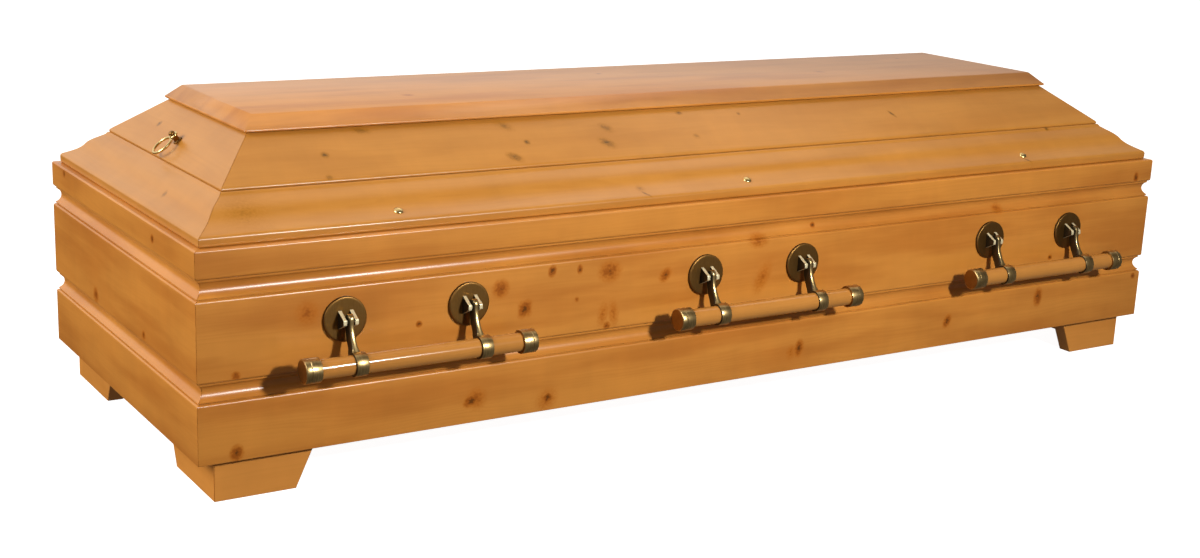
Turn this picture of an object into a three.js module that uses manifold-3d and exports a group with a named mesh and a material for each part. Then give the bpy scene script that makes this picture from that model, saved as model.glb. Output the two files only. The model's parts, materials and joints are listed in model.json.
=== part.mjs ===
// A chest-shaped coffin of stained spruce on bracket feet. The box has two moulded grooves all round,
// the hipped lid has an ogee-moulded lower storey, a flat sloping upper storey and a bevelled top board,
// and six swing-bar handles hang on its long sides. Millimetres, +Z up, length along X.
// The origin is on the floor under the middle of the box. The front faces -Y.

import * as THREE from 'three';
import { mergeVertices } from 'three/addons/utils/BufferGeometryUtils.js';
import Module from 'manifold-3d';

const wasm = await Module();
wasm.setup();

// Clearances
const GAP = 0.3;
const MITRE_GAP = 0.25;

// Box
const LENGTH = 2000;
const WIDTH = 720;
const BOX_HEIGHT = 324;
const PANEL_THICKNESS = 32;
const FLOOR_THICKNESS = 18;
const TOP_ROUND = 6;

// Grooves round the box
const UPPER_GROOVE_DROP = 39;
const LOWER_GROOVE_RISE = 89;
const GROOVE_HEIGHT = 40;
const GROOVE_DEPTH = 11;
const EDGE_ROUND = 4.5;
const GROOVE_FILLET = 4;
const GROOVE_QUIRK = 1.4;
const GROOVE_LIP = 3;
const GROOVE_LIP_HEIGHT = 3;
const GROOVE_TOP_PULL = 0.2;
const GROOVE_FOOT_PULL = 0.28;

// Feet
const FOOT_HEIGHT = 66;
const FOOT_THICKNESS = 28;
const FOOT_INSET_SIDE = 18;
const FOOT_INSET_END = 30;
const FOOT_LENGTH_SIDE = 160;
const FOOT_LENGTH_END = 195;
const FOOT_SLANT = 30;

// Lid. Insets are measured on the two ends, and grow by LID_SPREAD on the long sides.
const LID_SPREAD = 1.22;
const NOSE_INSET = 11;
const NOSE_RISE = 11;
const NOSE_LIFT = 2;
const NOSE_TOP_PULL = 2;
const SEAT_INSET = 12.5;
const SEAT_WIDTH = 31.5;
const SEAT_CHAMFER = 1;
const HOLLOW_INSET = 14;
const HOLLOW_RISE = 16.5;
const OGEE_INSET = 43;
const OGEE_RISE = 37;
const ROUND_INSET = 70;
const ROUND_RISE = 58.5;
const STEP_INSET = 78;
const STEP_RISE = 70;
const STEP_HEIGHT = 7;
const SHOULDER_PULL = 2;
const SHOULDER_INSET = 3;
const SEAM_INSET = 2.5;
const SEAM_PULL = [5.25, 2.8];
const FACE_TOP_INSET = 159;
const FACE_TOP_RISE = 137;
const BOARD_THICKNESS = 20;
const RIM_INSET = 145;
const RIM_HEIGHT = 6;
const RIM_ROUND = 1.5;
const BEVEL_WIDTH = 23;
const TOP_THICKNESS = 19;

// Pulls of the ogee's two curves, as shares of each curve's run and rise
const HOLLOW_START_PULL = [0.42, 0.3];
const HOLLOW_END_PULL = [0.2, 0.42];
const BELLY_START_PULL = [0.2, 0.42];
const BELLY_END_PULL = [0.36, 0.32];

// Lid screws
const SCREW_END_DISTANCE = 335;
const SCREW_HEAD_RADIUS = 7.5;
const SCREW_HEAD_HEIGHT = 4;
const SCREW_SHANK_RADIUS = 3;
const SCREW_SHANK_LENGTH = 15;
const SCREW_RECESS = 1;
const SCREW_PLACE = 0.42;
const SCREW_DOME = [[0.92, 0.55], [0.5, 0.92]];

// Handles
const HANDLE_END_DISTANCE = 335;
const HANDLE_RISE = 199;
const ARM_SPACING = 210;
const ROSETTE_RADIUS = 35;
const ROSETTE_THICKNESS = 5;
const ROSETTE_CHAMFER = 1.5;
const LUG_THICKNESS = 6;
const LUG_GAP = 13;
const LUG_HEIGHT = 31;
const LUG_TIP_REACH = 25.5;
const LUG_TIP_TOP = 4.5;
const LUG_TIP_FOOT = -4;
const LUG_TIP_ROUND = 2.5;
const PIN_RADIUS = 3;
const PIN_REACH = 20;
const PIN_CLEARANCE = 0.45;
const ARM_WIDTH = 9;
const HEAD_RADIUS = 8.5;
const HEAD_LIFT = 3.5;
const BAR_REACH = 52;
const BAR_DROP = 57;
const BAR_LENGTH = 390;
const BAR_RADIUS = 15;
const CAP_RADIUS = 19;
const CAP_LENGTH = 26;
const CAP_ROUND = 2;
const COLLAR_RADIUS = 18.5;
const COLLAR_WIDTH = 20;
const FLARE_START = 23;
const FLARE_END = 12;

// Side view of an arm, as [out, up] from the pin's height on the panel's face
const ARM_FRONT_START_PULL = [27.5, -12];
const ARM_FRONT_END_PULL = [34.5, -26];
const ARM_FRONT_END = [46, -40.5];
const ARM_HEEL = [26, -44];
const ARM_BACK_START_PULL = [17, -39];
const ARM_BACK_END_PULL = [9.5, -16];

// Ring on the left end of the lid
const RING_RISE = 33;
const RING_RADIUS = 17.5;
const RING_WIRE = 2.3;
const EYELET_RADIUS = 6.2;
const EYELET_WIRE = 2;
const POST_FLANGE_RADIUS = 8;
const POST_FLANGE_THICKNESS = 2;
const POST_RADIUS = 5;
const POST_NECK_RADIUS = 3.4;
const POST_NECK_START = 9.2;
const POST_NECK_LENGTH = 5.6;
const POST_HEAD_LENGTH = 5;
const POST_HEAD_EASE = [0.6, 0.7];

// Fineness of the faceted curves
const CURVE_STEPS = 3;
const BAR_SIDES = 14;
const PIN_SIDES = 10;
const ROSETTE_SIDES = 24;
const SCREW_SIDES = 8;
const RING_STEPS = 16;
const WIRE_SIDES = 6;

// Heights and places that follow
const boxBottom = FOOT_HEIGHT + GAP;
const boxTop = FOOT_HEIGHT + BOX_HEIGHT;
const lidBottom = boxTop + GAP;
const handleSpacing = LENGTH / 2 - HANDLE_END_DISTANCE;
const screwSpacing = LENGTH / 2 - SCREW_END_DISTANCE;
const seamHeight = boxTop + STEP_RISE - STEP_HEIGHT;
const faceTopHeight = boxTop + FACE_TOP_RISE;
const faceRun = FACE_TOP_INSET - STEP_INSET;
const faceRise = FACE_TOP_RISE - STEP_RISE;
const facePitch = Math.atan2(faceRise, faceRun);
const faceSlope = faceRun / faceRise;
const boardInset = BOARD_THICKNESS / Math.sin(facePitch);

const SIDES = {
  front: { turn: 0, run: LENGTH, depth: WIDTH, isEnd: false },
  right: { turn: Math.PI / 2, run: WIDTH, depth: LENGTH, isEnd: true },
  back: { turn: Math.PI, run: LENGTH, depth: WIDTH, isEnd: false },
  left: { turn: -Math.PI / 2, run: WIDTH, depth: LENGTH, isEnd: true },
};

const spruce = new THREE.MeshStandardMaterial({ color: '#c48744', roughness: 0.35, metalness: 0 });
const barWood = new THREE.MeshStandardMaterial({ color: '#c98d52', roughness: 0.35, metalness: 0 });
const brass = new THREE.MeshStandardMaterial({ color: '#7d6235', roughness: 0.35, metalness: 1 });

const coffin = new THREE.Group();

// Merges the shared corners, drops flat triangles and turns the faces outward.
function closed(geometry) {
  geometry.deleteAttribute('normal');
  geometry.deleteAttribute('uv');
  const merged = mergeVertices(geometry, 1e-4);
  const corners = merged.getIndex().array;
  const at = (i) => new THREE.Vector3().fromBufferAttribute(merged.getAttribute('position'), i);
  const kept = [];
  let volume = 0;
  for (let i = 0; i < corners.length; i += 3) {
    const [a, b, c] = corners.slice(i, i + 3);
    if (a === b || b === c || c === a) continue;
    kept.push([a, b, c]);
    volume += at(a).dot(at(b).cross(at(c)));
  }
  const faces = volume < 0 ? kept.map(([a, b, c]) => [a, c, b]) : kept;
  merged.setIndex(faces.flat());
  return merged;
}

function toSolid(geometry) {
  const merged = closed(geometry);
  return new wasm.Manifold(new wasm.Mesh({
    numProp: 3,
    vertProperties: new Float32Array(merged.getAttribute('position').array),
    triVerts: new Uint32Array(merged.getIndex().array),
  }));
}

function toGeometry(solid) {
  const mesh = solid.getMesh();
  const geometry = new THREE.BufferGeometry();
  geometry.setAttribute('position', new THREE.BufferAttribute(mesh.vertProperties, 3));
  geometry.setIndex(new THREE.BufferAttribute(mesh.triVerts, 1));
  return geometry;
}

function addMesh(parent, name, geometry, material) {
  const mesh = new THREE.Mesh(geometry, material);
  mesh.name = name;
  parent.add(mesh);
  return mesh;
}

// A round solid on the Y axis. Points are [radius, place along the axis], from axis to axis.
function turned(points, sides) {
  return new THREE.LatheGeometry(points.map(([r, y]) => new THREE.Vector2(r, y)), sides);
}

function cylinder(radius, from, to, sides) {
  return turned([[0, from], [radius, from], [radius, to], [0, to]], sides);
}

// A round solid centred on the X axis, moved out and up.
function alongX(geometry, out, up) {
  return geometry.rotateZ(-Math.PI / 2).translate(0, out, up);
}

// An outline drawn as [out, up], given a width along X.
function sideView(outline, width, shift = 0) {
  const settings = { depth: width, bevelEnabled: false, curveSegments: CURVE_STEPS };
  const axes = new THREE.Matrix4().makeBasis(
    new THREE.Vector3(0, 1, 0),
    new THREE.Vector3(0, 0, 1),
    new THREE.Vector3(1, 0, 0),
  );
  return new THREE.ExtrudeGeometry(outline, settings).applyMatrix4(axes).translate(shift - width / 2, 0, 0);
}

// A board along one side, mitred at both ends. Its outline is drawn as [inset, height].
function mitredBoard(outline, side, spread) {
  const settings = { depth: 1, bevelEnabled: false, curveSegments: CURVE_STEPS };
  const geometry = new THREE.ExtrudeGeometry(outline, settings);
  const place = geometry.getAttribute('position');
  const acrossSpread = side.isEnd ? 1 : spread;
  const alongSpread = side.isEnd ? spread : 1;
  for (let i = 0; i < place.count; i += 1) {
    const inset = place.getX(i);
    const end = place.getZ(i) > 0.5 ? 1 : -1;
    const along = end * (side.run / 2 - inset * alongSpread - MITRE_GAP);
    place.setXYZ(i, along, inset * acrossSpread - side.depth / 2, place.getY(i));
  }
  return closed(geometry);
}

// Draws one groove down the face of a panel: rounded edge, fillet, hollow, lip and rounded edge.
// The belly's pull makes the middle of the hollow as deep as the groove.
function drawGroove(outline, top) {
  const bottom = top - GROOVE_HEIGHT;
  const hollowTop = top - EDGE_ROUND - GROOVE_FILLET;
  const lipHeight = bottom + EDGE_ROUND + GROOVE_LIP_HEIGHT;
  const hollowStart = EDGE_ROUND + GROOVE_QUIRK;
  const belly = (8 * GROOVE_DEPTH - hollowStart - GROOVE_LIP) / 6;
  const hollowHeight = hollowTop - lipHeight;
  outline.lineTo(0, top);
  outline.quadraticCurveTo(0, top - EDGE_ROUND, EDGE_ROUND, top - EDGE_ROUND);
  outline.lineTo(EDGE_ROUND, hollowTop);
  outline.lineTo(hollowStart, hollowTop);
  outline.bezierCurveTo(
    belly, hollowTop - hollowHeight * GROOVE_TOP_PULL,
    belly, lipHeight + hollowHeight * GROOVE_FOOT_PULL,
    GROOVE_LIP, lipHeight,
  );
  outline.lineTo(EDGE_ROUND, bottom + EDGE_ROUND);
  outline.quadraticCurveTo(0, bottom + EDGE_ROUND, 0, bottom);
}

function panelOutline() {
  const outline = new THREE.Shape();
  outline.moveTo(PANEL_THICKNESS, boxTop);
  outline.lineTo(TOP_ROUND, boxTop);
  outline.quadraticCurveTo(0, boxTop, 0, boxTop - TOP_ROUND);
  drawGroove(outline, boxTop - UPPER_GROOVE_DROP);
  drawGroove(outline, boxBottom + LOWER_GROOVE_RISE + GROOVE_HEIGHT);
  outline.lineTo(0, boxBottom);
  outline.lineTo(PANEL_THICKNESS, boxBottom);
  return outline;
}

// The hollow of the lower lid board, from the nose up to the middle of the ogee.
function lidHollow() {
  const run = OGEE_INSET - HOLLOW_INSET;
  const rise = OGEE_RISE - HOLLOW_RISE;
  return new THREE.CubicBezierCurve(
    new THREE.Vector2(HOLLOW_INSET, boxTop + HOLLOW_RISE),
    new THREE.Vector2(
      HOLLOW_INSET + run * HOLLOW_START_PULL[0],
      boxTop + HOLLOW_RISE + rise * HOLLOW_START_PULL[1],
    ),
    new THREE.Vector2(OGEE_INSET - run * HOLLOW_END_PULL[0], boxTop + OGEE_RISE - rise * HOLLOW_END_PULL[1]),
    new THREE.Vector2(OGEE_INSET, boxTop + OGEE_RISE),
  );
}

function lowerLidOutline() {
  const hollow = lidHollow();
  const run = ROUND_INSET - OGEE_INSET;
  const rise = ROUND_RISE - OGEE_RISE;
  const top = seamHeight - GAP;
  const outline = new THREE.Shape();
  outline.moveTo(SEAT_INSET, lidBottom);
  outline.lineTo(SEAT_INSET - SEAT_CHAMFER, boxTop + NOSE_LIFT);
  outline.quadraticCurveTo(NOSE_INSET, boxTop + NOSE_LIFT, NOSE_INSET, boxTop + NOSE_RISE);
  outline.quadraticCurveTo(NOSE_INSET, boxTop + HOLLOW_RISE - NOSE_TOP_PULL, hollow.v0.x, hollow.v0.y);
  outline.bezierCurveTo(hollow.v1.x, hollow.v1.y, hollow.v2.x, hollow.v2.y, hollow.v3.x, hollow.v3.y);
  outline.bezierCurveTo(
    OGEE_INSET + run * BELLY_START_PULL[0], boxTop + OGEE_RISE + rise * BELLY_START_PULL[1],
    ROUND_INSET - run * BELLY_END_PULL[0], boxTop + ROUND_RISE - rise * BELLY_END_PULL[1],
    ROUND_INSET, boxTop + ROUND_RISE,
  );
  outline.quadraticCurveTo(ROUND_INSET + SHOULDER_PULL, top, STEP_INSET - SHOULDER_INSET, top);
  outline.lineTo(STEP_INSET + boardInset - STEP_HEIGHT * faceSlope, top);
  outline.lineTo(SEAT_INSET + SEAT_WIDTH, lidBottom);
  return outline;
}

function upperLidOutline() {
  const top = faceTopHeight - GAP;
  const topInset = FACE_TOP_INSET - GAP * faceSlope;
  const outline = new THREE.Shape();
  outline.moveTo(STEP_INSET - SEAM_INSET, seamHeight);
  outline.quadraticCurveTo(
    STEP_INSET - SEAM_PULL[0], seamHeight + SEAM_PULL[1],
    STEP_INSET, boxTop + STEP_RISE,
  );
  outline.lineTo(topInset, top);
  outline.lineTo(topInset + boardInset, top);
  outline.lineTo(STEP_INSET + boardInset - STEP_HEIGHT * faceSlope, seamHeight);
  return outline;
}

// A flat board built of level rectangles, each at its own inset and height.
function topBoard() {
  const levels = [
    [RIM_INSET + RIM_ROUND, faceTopHeight],
    [RIM_INSET, faceTopHeight + RIM_ROUND],
    [RIM_INSET, faceTopHeight + RIM_HEIGHT - RIM_ROUND],
    [RIM_INSET + RIM_ROUND, faceTopHeight + RIM_HEIGHT],
    [RIM_INSET + BEVEL_WIDTH, faceTopHeight + TOP_THICKNESS],
  ];
  const points = [];
  for (const [inset, height] of levels) {
    const x = LENGTH / 2 - inset;
    const y = WIDTH / 2 - inset * LID_SPREAD;
    points.push(-x, -y, height, x, -y, height, x, y, height, -x, y, height);
  }
  const faces = [0, 2, 1, 0, 3, 2];
  for (let level = 0; level < levels.length - 1; level += 1) {
    for (let corner = 0; corner < 4; corner += 1) {
      const a = level * 4 + corner;
      const b = level * 4 + ((corner + 1) % 4);
      faces.push(a, b, b + 4, a, b + 4, a + 4);
    }
  }
  const last = (levels.length - 1) * 4;
  faces.push(last, last + 1, last + 2, last, last + 2, last + 3);
  const geometry = new THREE.BufferGeometry();
  geometry.setAttribute('position', new THREE.Float32BufferAttribute(points, 3));
  geometry.setIndex(faces);
  return geometry;
}

// One board of a foot: mitred at the corner, slanted at its free end.
function footBoard(side, end) {
  const length = side.isEnd ? FOOT_LENGTH_END : FOOT_LENGTH_SIDE;
  const across = side.isEnd ? FOOT_INSET_END : FOOT_INSET_SIDE;
  const alongInset = side.isEnd ? FOOT_INSET_SIDE : FOOT_INSET_END;
  const outline = new THREE.Shape();
  outline.moveTo(0, 0);
  outline.lineTo(length - FOOT_SLANT, 0);
  outline.lineTo(length, FOOT_HEIGHT);
  outline.lineTo(0, FOOT_HEIGHT);
  const geometry = new THREE.ExtrudeGeometry(outline, { depth: FOOT_THICKNESS, bevelEnabled: false });
  const place = geometry.getAttribute('position');
  for (let i = 0; i < place.count; i += 1) {
    const depth = place.getZ(i);
    const mitre = place.getX(i) < 1 ? depth + MITRE_GAP : 0;
    const along = end * (side.run / 2 - alongInset - place.getX(i) - mitre);
    place.setXYZ(i, along, across + depth - side.depth / 2, place.getY(i));
  }
  return closed(geometry);
}

function addBox() {
  for (const [name, side] of Object.entries(SIDES)) {
    const panel = addMesh(coffin, `box_${name}_panel`, mitredBoard(panelOutline(), side, 1), spruce);
    panel.rotation.z = side.turn;
  }
  const inset = 2 * (PANEL_THICKNESS + GAP);
  const board = new THREE.BoxGeometry(LENGTH - inset, WIDTH - inset, FLOOR_THICKNESS);
  const floor = addMesh(coffin, 'box_floor_board', board, spruce);
  floor.position.z = boxBottom + FLOOR_THICKNESS / 2;
}

function addFeet() {
  const ends = {
    front: ['left', 'right'],
    right: ['front', 'back'],
    back: ['right', 'left'],
    left: ['back', 'front'],
  };
  for (const [name, side] of Object.entries(SIDES)) {
    ends[name].forEach((other, i) => {
      const corner = side.isEnd ? `${other}_${name}` : `${name}_${other}`;
      const kind = side.isEnd ? 'end' : 'side';
      const board = addMesh(coffin, `foot_${corner}_${kind}_board`, footBoard(side, i * 2 - 1), spruce);
      board.rotation.z = side.turn;
    });
  }
}

// Where a screw stands on the hollow of the lower lid board of a long side.
function screwPlace() {
  const hollow = lidHollow();
  const at = hollow.getPoint(SCREW_PLACE);
  const slope = hollow.getTangent(SCREW_PLACE);
  return {
    out: at.x * LID_SPREAD - WIDTH / 2,
    height: at.y,
    tilt: Math.PI / 2 + Math.atan2(slope.y, slope.x * LID_SPREAD),
  };
}

function screwBore(x) {
  const { out, height, tilt } = screwPlace();
  const head = SCREW_HEAD_RADIUS + GAP;
  const shank = SCREW_SHANK_RADIUS + GAP;
  const bore = turned([
    [0, -SCREW_RECESS - SCREW_SHANK_LENGTH - GAP],
    [shank, -SCREW_RECESS - SCREW_SHANK_LENGTH - GAP],
    [shank, -SCREW_RECESS],
    [head, -SCREW_RECESS],
    [head, SCREW_HEAD_HEIGHT],
    [0, SCREW_HEAD_HEIGHT],
  ], SCREW_SIDES);
  return toSolid(bore.rotateX(tilt).translate(x, out, height));
}

function screwGeometry() {
  const under = GAP - SCREW_RECESS;
  const dome = SCREW_DOME.map(([r, y]) => [SCREW_HEAD_RADIUS * r, under + SCREW_HEAD_HEIGHT * y]);
  return closed(turned([
    [0, under - SCREW_SHANK_LENGTH],
    [SCREW_SHANK_RADIUS, under - SCREW_SHANK_LENGTH],
    [SCREW_SHANK_RADIUS, under],
    [SCREW_HEAD_RADIUS, under],
    ...dome,
    [0, under + SCREW_HEAD_HEIGHT],
  ], SCREW_SIDES));
}

function addLid() {
  const places = { left: -screwSpacing, middle: 0, right: screwSpacing };
  for (const [name, side] of Object.entries(SIDES)) {
    let lower = mitredBoard(lowerLidOutline(), side, LID_SPREAD);
    if (!side.isEnd) {
      let bored = toSolid(lower);
      for (const x of Object.values(places)) bored = bored.subtract(screwBore(x));
      lower = toGeometry(bored);
    }
    addMesh(coffin, `lid_${name}_lower_board`, lower, spruce).rotation.z = side.turn;
    const upper = mitredBoard(upperLidOutline(), side, LID_SPREAD);
    addMesh(coffin, `lid_${name}_upper_board`, upper, spruce).rotation.z = side.turn;
  }
  addMesh(coffin, 'lid_top_board', topBoard(), spruce);

  const { out, height, tilt } = screwPlace();
  for (const name of ['front', 'back']) {
    const row = new THREE.Group();
    row.rotation.z = SIDES[name].turn;
    coffin.add(row);
    const turnedRound = name === 'back' ? -1 : 1;
    for (const [label, x] of Object.entries(places)) {
      const screw = addMesh(row, `lid_screw_${name}_${label}`, screwGeometry(), brass);
      screw.position.set(x * turnedRound, out, height);
      screw.rotation.x = tilt;
    }
  }
}

// Disc, two lugs and the pin between them. Y points out of the box, from its face.
function rosetteGeometry() {
  const front = GAP + ROSETTE_THICKNESS;
  const disc = turned([
    [0, GAP],
    [ROSETTE_RADIUS, GAP],
    [ROSETTE_RADIUS, front - ROSETTE_CHAMFER],
    [ROSETTE_RADIUS - ROSETTE_CHAMFER, front],
    [0, front],
  ], ROSETTE_SIDES);
  const base = GAP + ROSETTE_THICKNESS / 2;
  const outline = new THREE.Shape();
  outline.moveTo(base, LUG_HEIGHT / 2);
  outline.lineTo(LUG_TIP_REACH - LUG_TIP_ROUND, LUG_TIP_TOP);
  outline.quadraticCurveTo(LUG_TIP_REACH, LUG_TIP_TOP, LUG_TIP_REACH, LUG_TIP_TOP - LUG_TIP_ROUND);
  outline.lineTo(LUG_TIP_REACH, LUG_TIP_FOOT);
  outline.lineTo(base, -LUG_HEIGHT / 2);
  const offset = (LUG_GAP + LUG_THICKNESS) / 2;
  const pin = alongX(cylinder(PIN_RADIUS, -offset, offset, PIN_SIDES), PIN_REACH, 0);
  return toGeometry(
    toSolid(disc)
      .add(toSolid(sideView(outline, LUG_THICKNESS, -offset)))
      .add(toSolid(sideView(outline, LUG_THICKNESS, offset)))
      .add(toSolid(pin)),
  );
}

// The arm seen from the side: a round head over the pin, and a curved blade that reaches the collar.
function armSideView() {
  const outline = new THREE.Shape();
  outline.moveTo(PIN_REACH + HEAD_RADIUS, HEAD_LIFT);
  outline.bezierCurveTo(...ARM_FRONT_START_PULL, ...ARM_FRONT_END_PULL, ...ARM_FRONT_END);
  outline.lineTo(BAR_REACH - BAR_RADIUS, -BAR_DROP);
  outline.lineTo(...ARM_HEEL);
  outline.bezierCurveTo(...ARM_BACK_START_PULL, ...ARM_BACK_END_PULL, PIN_REACH - HEAD_RADIUS, HEAD_LIFT);
  outline.absarc(PIN_REACH, HEAD_LIFT, HEAD_RADIUS, Math.PI, 0, true);
  return outline;
}

// The arm seen from the front: as wide as its blade, then flared to the width of the collar.
function armFrontView() {
  const blade = ARM_WIDTH / 2;
  const foot = COLLAR_WIDTH / 2;
  const top = HEAD_LIFT + HEAD_RADIUS + 1;
  const flareTop = FLARE_START - BAR_DROP;
  const flareFoot = FLARE_END - BAR_DROP;
  const outline = new THREE.Shape();
  outline.moveTo(-blade, top);
  outline.lineTo(-blade, flareTop);
  outline.quadraticCurveTo(-blade, flareFoot, -foot, flareFoot);
  outline.lineTo(-foot, -BAR_DROP);
  outline.lineTo(foot, -BAR_DROP);
  outline.lineTo(foot, flareFoot);
  outline.quadraticCurveTo(blade, flareFoot, blade, flareTop);
  outline.lineTo(blade, top);
  const settings = { depth: BAR_REACH, bevelEnabled: false, curveSegments: CURVE_STEPS };
  return new THREE.ExtrudeGeometry(outline, settings).rotateX(Math.PI / 2).translate(0, BAR_REACH, 0);
}

// Arm and collar. The pin and the bar run through them.
function armGeometry() {
  const across = COLLAR_WIDTH * 2;
  const half = COLLAR_WIDTH / 2;
  const hole = alongX(cylinder(PIN_RADIUS + PIN_CLEARANCE, -half, half, PIN_SIDES), PIN_REACH, 0);
  const collar = alongX(cylinder(COLLAR_RADIUS, -half, half, BAR_SIDES), BAR_REACH, -BAR_DROP);
  const bore = alongX(cylinder(BAR_RADIUS + GAP, -across, across, BAR_SIDES), BAR_REACH, -BAR_DROP);
  return toGeometry(
    toSolid(sideView(armSideView(), COLLAR_WIDTH))
      .intersect(toSolid(armFrontView()))
      .add(toSolid(collar))
      .subtract(toSolid(bore))
      .subtract(toSolid(hole)),
  );
}

function barGeometry() {
  const half = BAR_LENGTH / 2;
  const outline = [
    [0, -half],
    [CAP_RADIUS - CAP_ROUND, -half],
    [CAP_RADIUS, CAP_ROUND - half],
    [CAP_RADIUS, CAP_LENGTH - half],
    [BAR_RADIUS, CAP_LENGTH - half],
  ];
  const mirrored = outline.map(([radius, along]) => [radius, -along]).reverse();
  return closed(alongX(turned([...outline, ...mirrored], BAR_SIDES), BAR_REACH, -BAR_DROP));
}

function addHandles() {
  const places = { left: -handleSpacing, middle: 0, right: handleSpacing };
  const arms = { left: -ARM_SPACING / 2, right: ARM_SPACING / 2 };
  for (const [side, facing] of Object.entries({ front: -1, back: 1 })) {
    for (const [place, x] of Object.entries(places)) {
      const name = `handle_${side}_${place}`;
      const handle = new THREE.Group();
      handle.position.set(x, facing * WIDTH / 2, boxBottom + HANDLE_RISE);
      handle.rotation.z = facing < 0 ? Math.PI : 0;
      coffin.add(handle);
      for (const [arm, offset] of Object.entries(arms)) {
        const rosette = addMesh(handle, `${name}_rosette_${arm}`, rosetteGeometry(), brass);
        rosette.position.x = offset * facing;
        addMesh(handle, `${name}_arm_${arm}`, armGeometry(), brass).position.x = offset * facing;
      }
      addMesh(handle, `${name}_bar`, barGeometry(), barWood);
    }
  }
}

function addRing() {
  const neckEnd = POST_NECK_START + POST_NECK_LENGTH;
  const post = turned([
    [0, GAP],
    [POST_FLANGE_RADIUS, GAP],
    [POST_FLANGE_RADIUS, POST_FLANGE_THICKNESS],
    [POST_RADIUS, POST_FLANGE_THICKNESS + 1],
    [POST_RADIUS, POST_NECK_START],
    [POST_NECK_RADIUS, POST_NECK_START],
    [POST_NECK_RADIUS, neckEnd],
    [POST_RADIUS, neckEnd],
    [POST_RADIUS, neckEnd + POST_HEAD_LENGTH * POST_HEAD_EASE[1]],
    [POST_RADIUS * POST_HEAD_EASE[0], neckEnd + POST_HEAD_LENGTH],
    [0, neckEnd + POST_HEAD_LENGTH],
  ], SCREW_SIDES);
  const eyelet = new THREE.TorusGeometry(EYELET_RADIUS, EYELET_WIRE, WIRE_SIDES, PIN_SIDES);
  const hoop = new THREE.TorusGeometry(RING_RADIUS, RING_WIRE, WIRE_SIDES, RING_STEPS);
  hoop.translate(0, EYELET_RADIUS + RING_RADIUS, 0);
  const ring = toGeometry(toSolid(eyelet).add(toSolid(hoop))).rotateX(Math.PI / 2);

  const end = new THREE.Group();
  end.rotation.z = SIDES.left.turn;
  const stand = new THREE.Group();
  const inset = STEP_INSET + RING_RISE * Math.cos(facePitch);
  const height = boxTop + STEP_RISE + RING_RISE * Math.sin(facePitch);
  stand.position.set(0, inset - LENGTH / 2, height);
  stand.rotation.x = Math.PI / 2 + facePitch;
  coffin.add(end);
  end.add(stand);
  addMesh(stand, 'lid_ring_post', closed(post), brass);
  addMesh(stand, 'lid_ring', ring, brass).position.y = POST_NECK_START + POST_NECK_LENGTH / 2;
}

addBox();
addFeet();
addLid();
addHandles();
addRing();

export default coffin;
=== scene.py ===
"""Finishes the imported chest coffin: stained spruce boards, turned handle bars and antique brass.

Sizes are in millimetres and become metres where a mesh is made. +Z is up. The long sides face -Y, the front,
and +Y, the back. The ring hangs on the left end, at -X.
"""

from __future__ import annotations

import json
import logging
import math
import random
import sys
from dataclasses import dataclass, field
from enum import Enum
from typing import Any, Callable, ClassVar, Sequence

import bmesh
import bpy
from mathutils import Matrix, Vector

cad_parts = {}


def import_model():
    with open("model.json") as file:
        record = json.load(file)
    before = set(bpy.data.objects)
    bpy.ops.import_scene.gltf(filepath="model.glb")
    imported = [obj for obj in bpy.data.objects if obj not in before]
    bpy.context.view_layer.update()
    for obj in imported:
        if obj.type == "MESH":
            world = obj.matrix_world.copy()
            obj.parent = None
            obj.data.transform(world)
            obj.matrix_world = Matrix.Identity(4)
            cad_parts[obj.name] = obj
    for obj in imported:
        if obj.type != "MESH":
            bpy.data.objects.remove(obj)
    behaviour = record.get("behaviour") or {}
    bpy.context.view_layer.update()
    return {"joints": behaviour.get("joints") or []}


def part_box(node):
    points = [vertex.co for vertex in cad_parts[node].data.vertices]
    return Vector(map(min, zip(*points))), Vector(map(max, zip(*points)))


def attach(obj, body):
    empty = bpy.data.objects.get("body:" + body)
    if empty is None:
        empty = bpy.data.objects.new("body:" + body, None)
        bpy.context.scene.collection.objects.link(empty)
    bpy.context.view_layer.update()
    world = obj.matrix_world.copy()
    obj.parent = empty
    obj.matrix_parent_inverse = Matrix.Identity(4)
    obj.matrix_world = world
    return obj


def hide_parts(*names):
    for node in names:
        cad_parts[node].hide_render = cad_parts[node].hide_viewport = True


LOG = logging.getLogger("coffin")

MM = 0.001
MITRE_GAP = 0.25
GAP = 0.3
CURVE_STEPS = 10
# An eased corner takes at most this share of each stretch beside it.
EASE_LIMIT = 0.45
EASE_STEPS = 3
# A face counts as turned sideways where its normal lies this much along X.
SIDEWAYS = 0.7
SHARP_ANGLE = math.radians(32)
BOARD_PLACE = "board_place"
PLACES = ("left", "middle", "right")

Point = tuple[float, float]


class Side(Enum):
    """A side of the coffin. Its value is the turn about Z, in degrees, from the front."""

    FRONT = 0
    RIGHT = 90
    BACK = 180
    LEFT = -90

    @property
    def label(self) -> str:
        """The side's name as the frame's nodes write it."""
        return self.name.lower()

    @property
    def is_end(self) -> bool:
        """Whether the side is one of the two short ends."""
        return self in (Side.LEFT, Side.RIGHT)

    @property
    def turn(self) -> Matrix:
        """The turn that brings a board drawn on the front to this side."""
        return Matrix.Rotation(math.radians(self.value), 4, "Z")


class Slot(Enum):
    """The record's material slots."""

    BOX = "box_wood"
    FOOT = "foot_wood"
    LID = "lid_wood"
    BAR = "bar_wood"
    BRASS = "brass"


# Outlines and meshes


def blended(a: Point, b: Point, share: float) -> Point:
    """The point that lies share of the way from a to b."""
    return a[0] + (b[0] - a[0]) * share, a[1] + (b[1] - a[1]) * share


def arc_points(start: Point, corner: Point, end: Point, steps: int) -> list[Point]:
    """Points of a round stretch that leaves start towards corner and arrives at end, with both ends."""
    shares = [step / steps for step in range(steps + 1)]
    return [blended(blended(start, corner, t), blended(corner, end, t), t) for t in shares]


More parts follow.
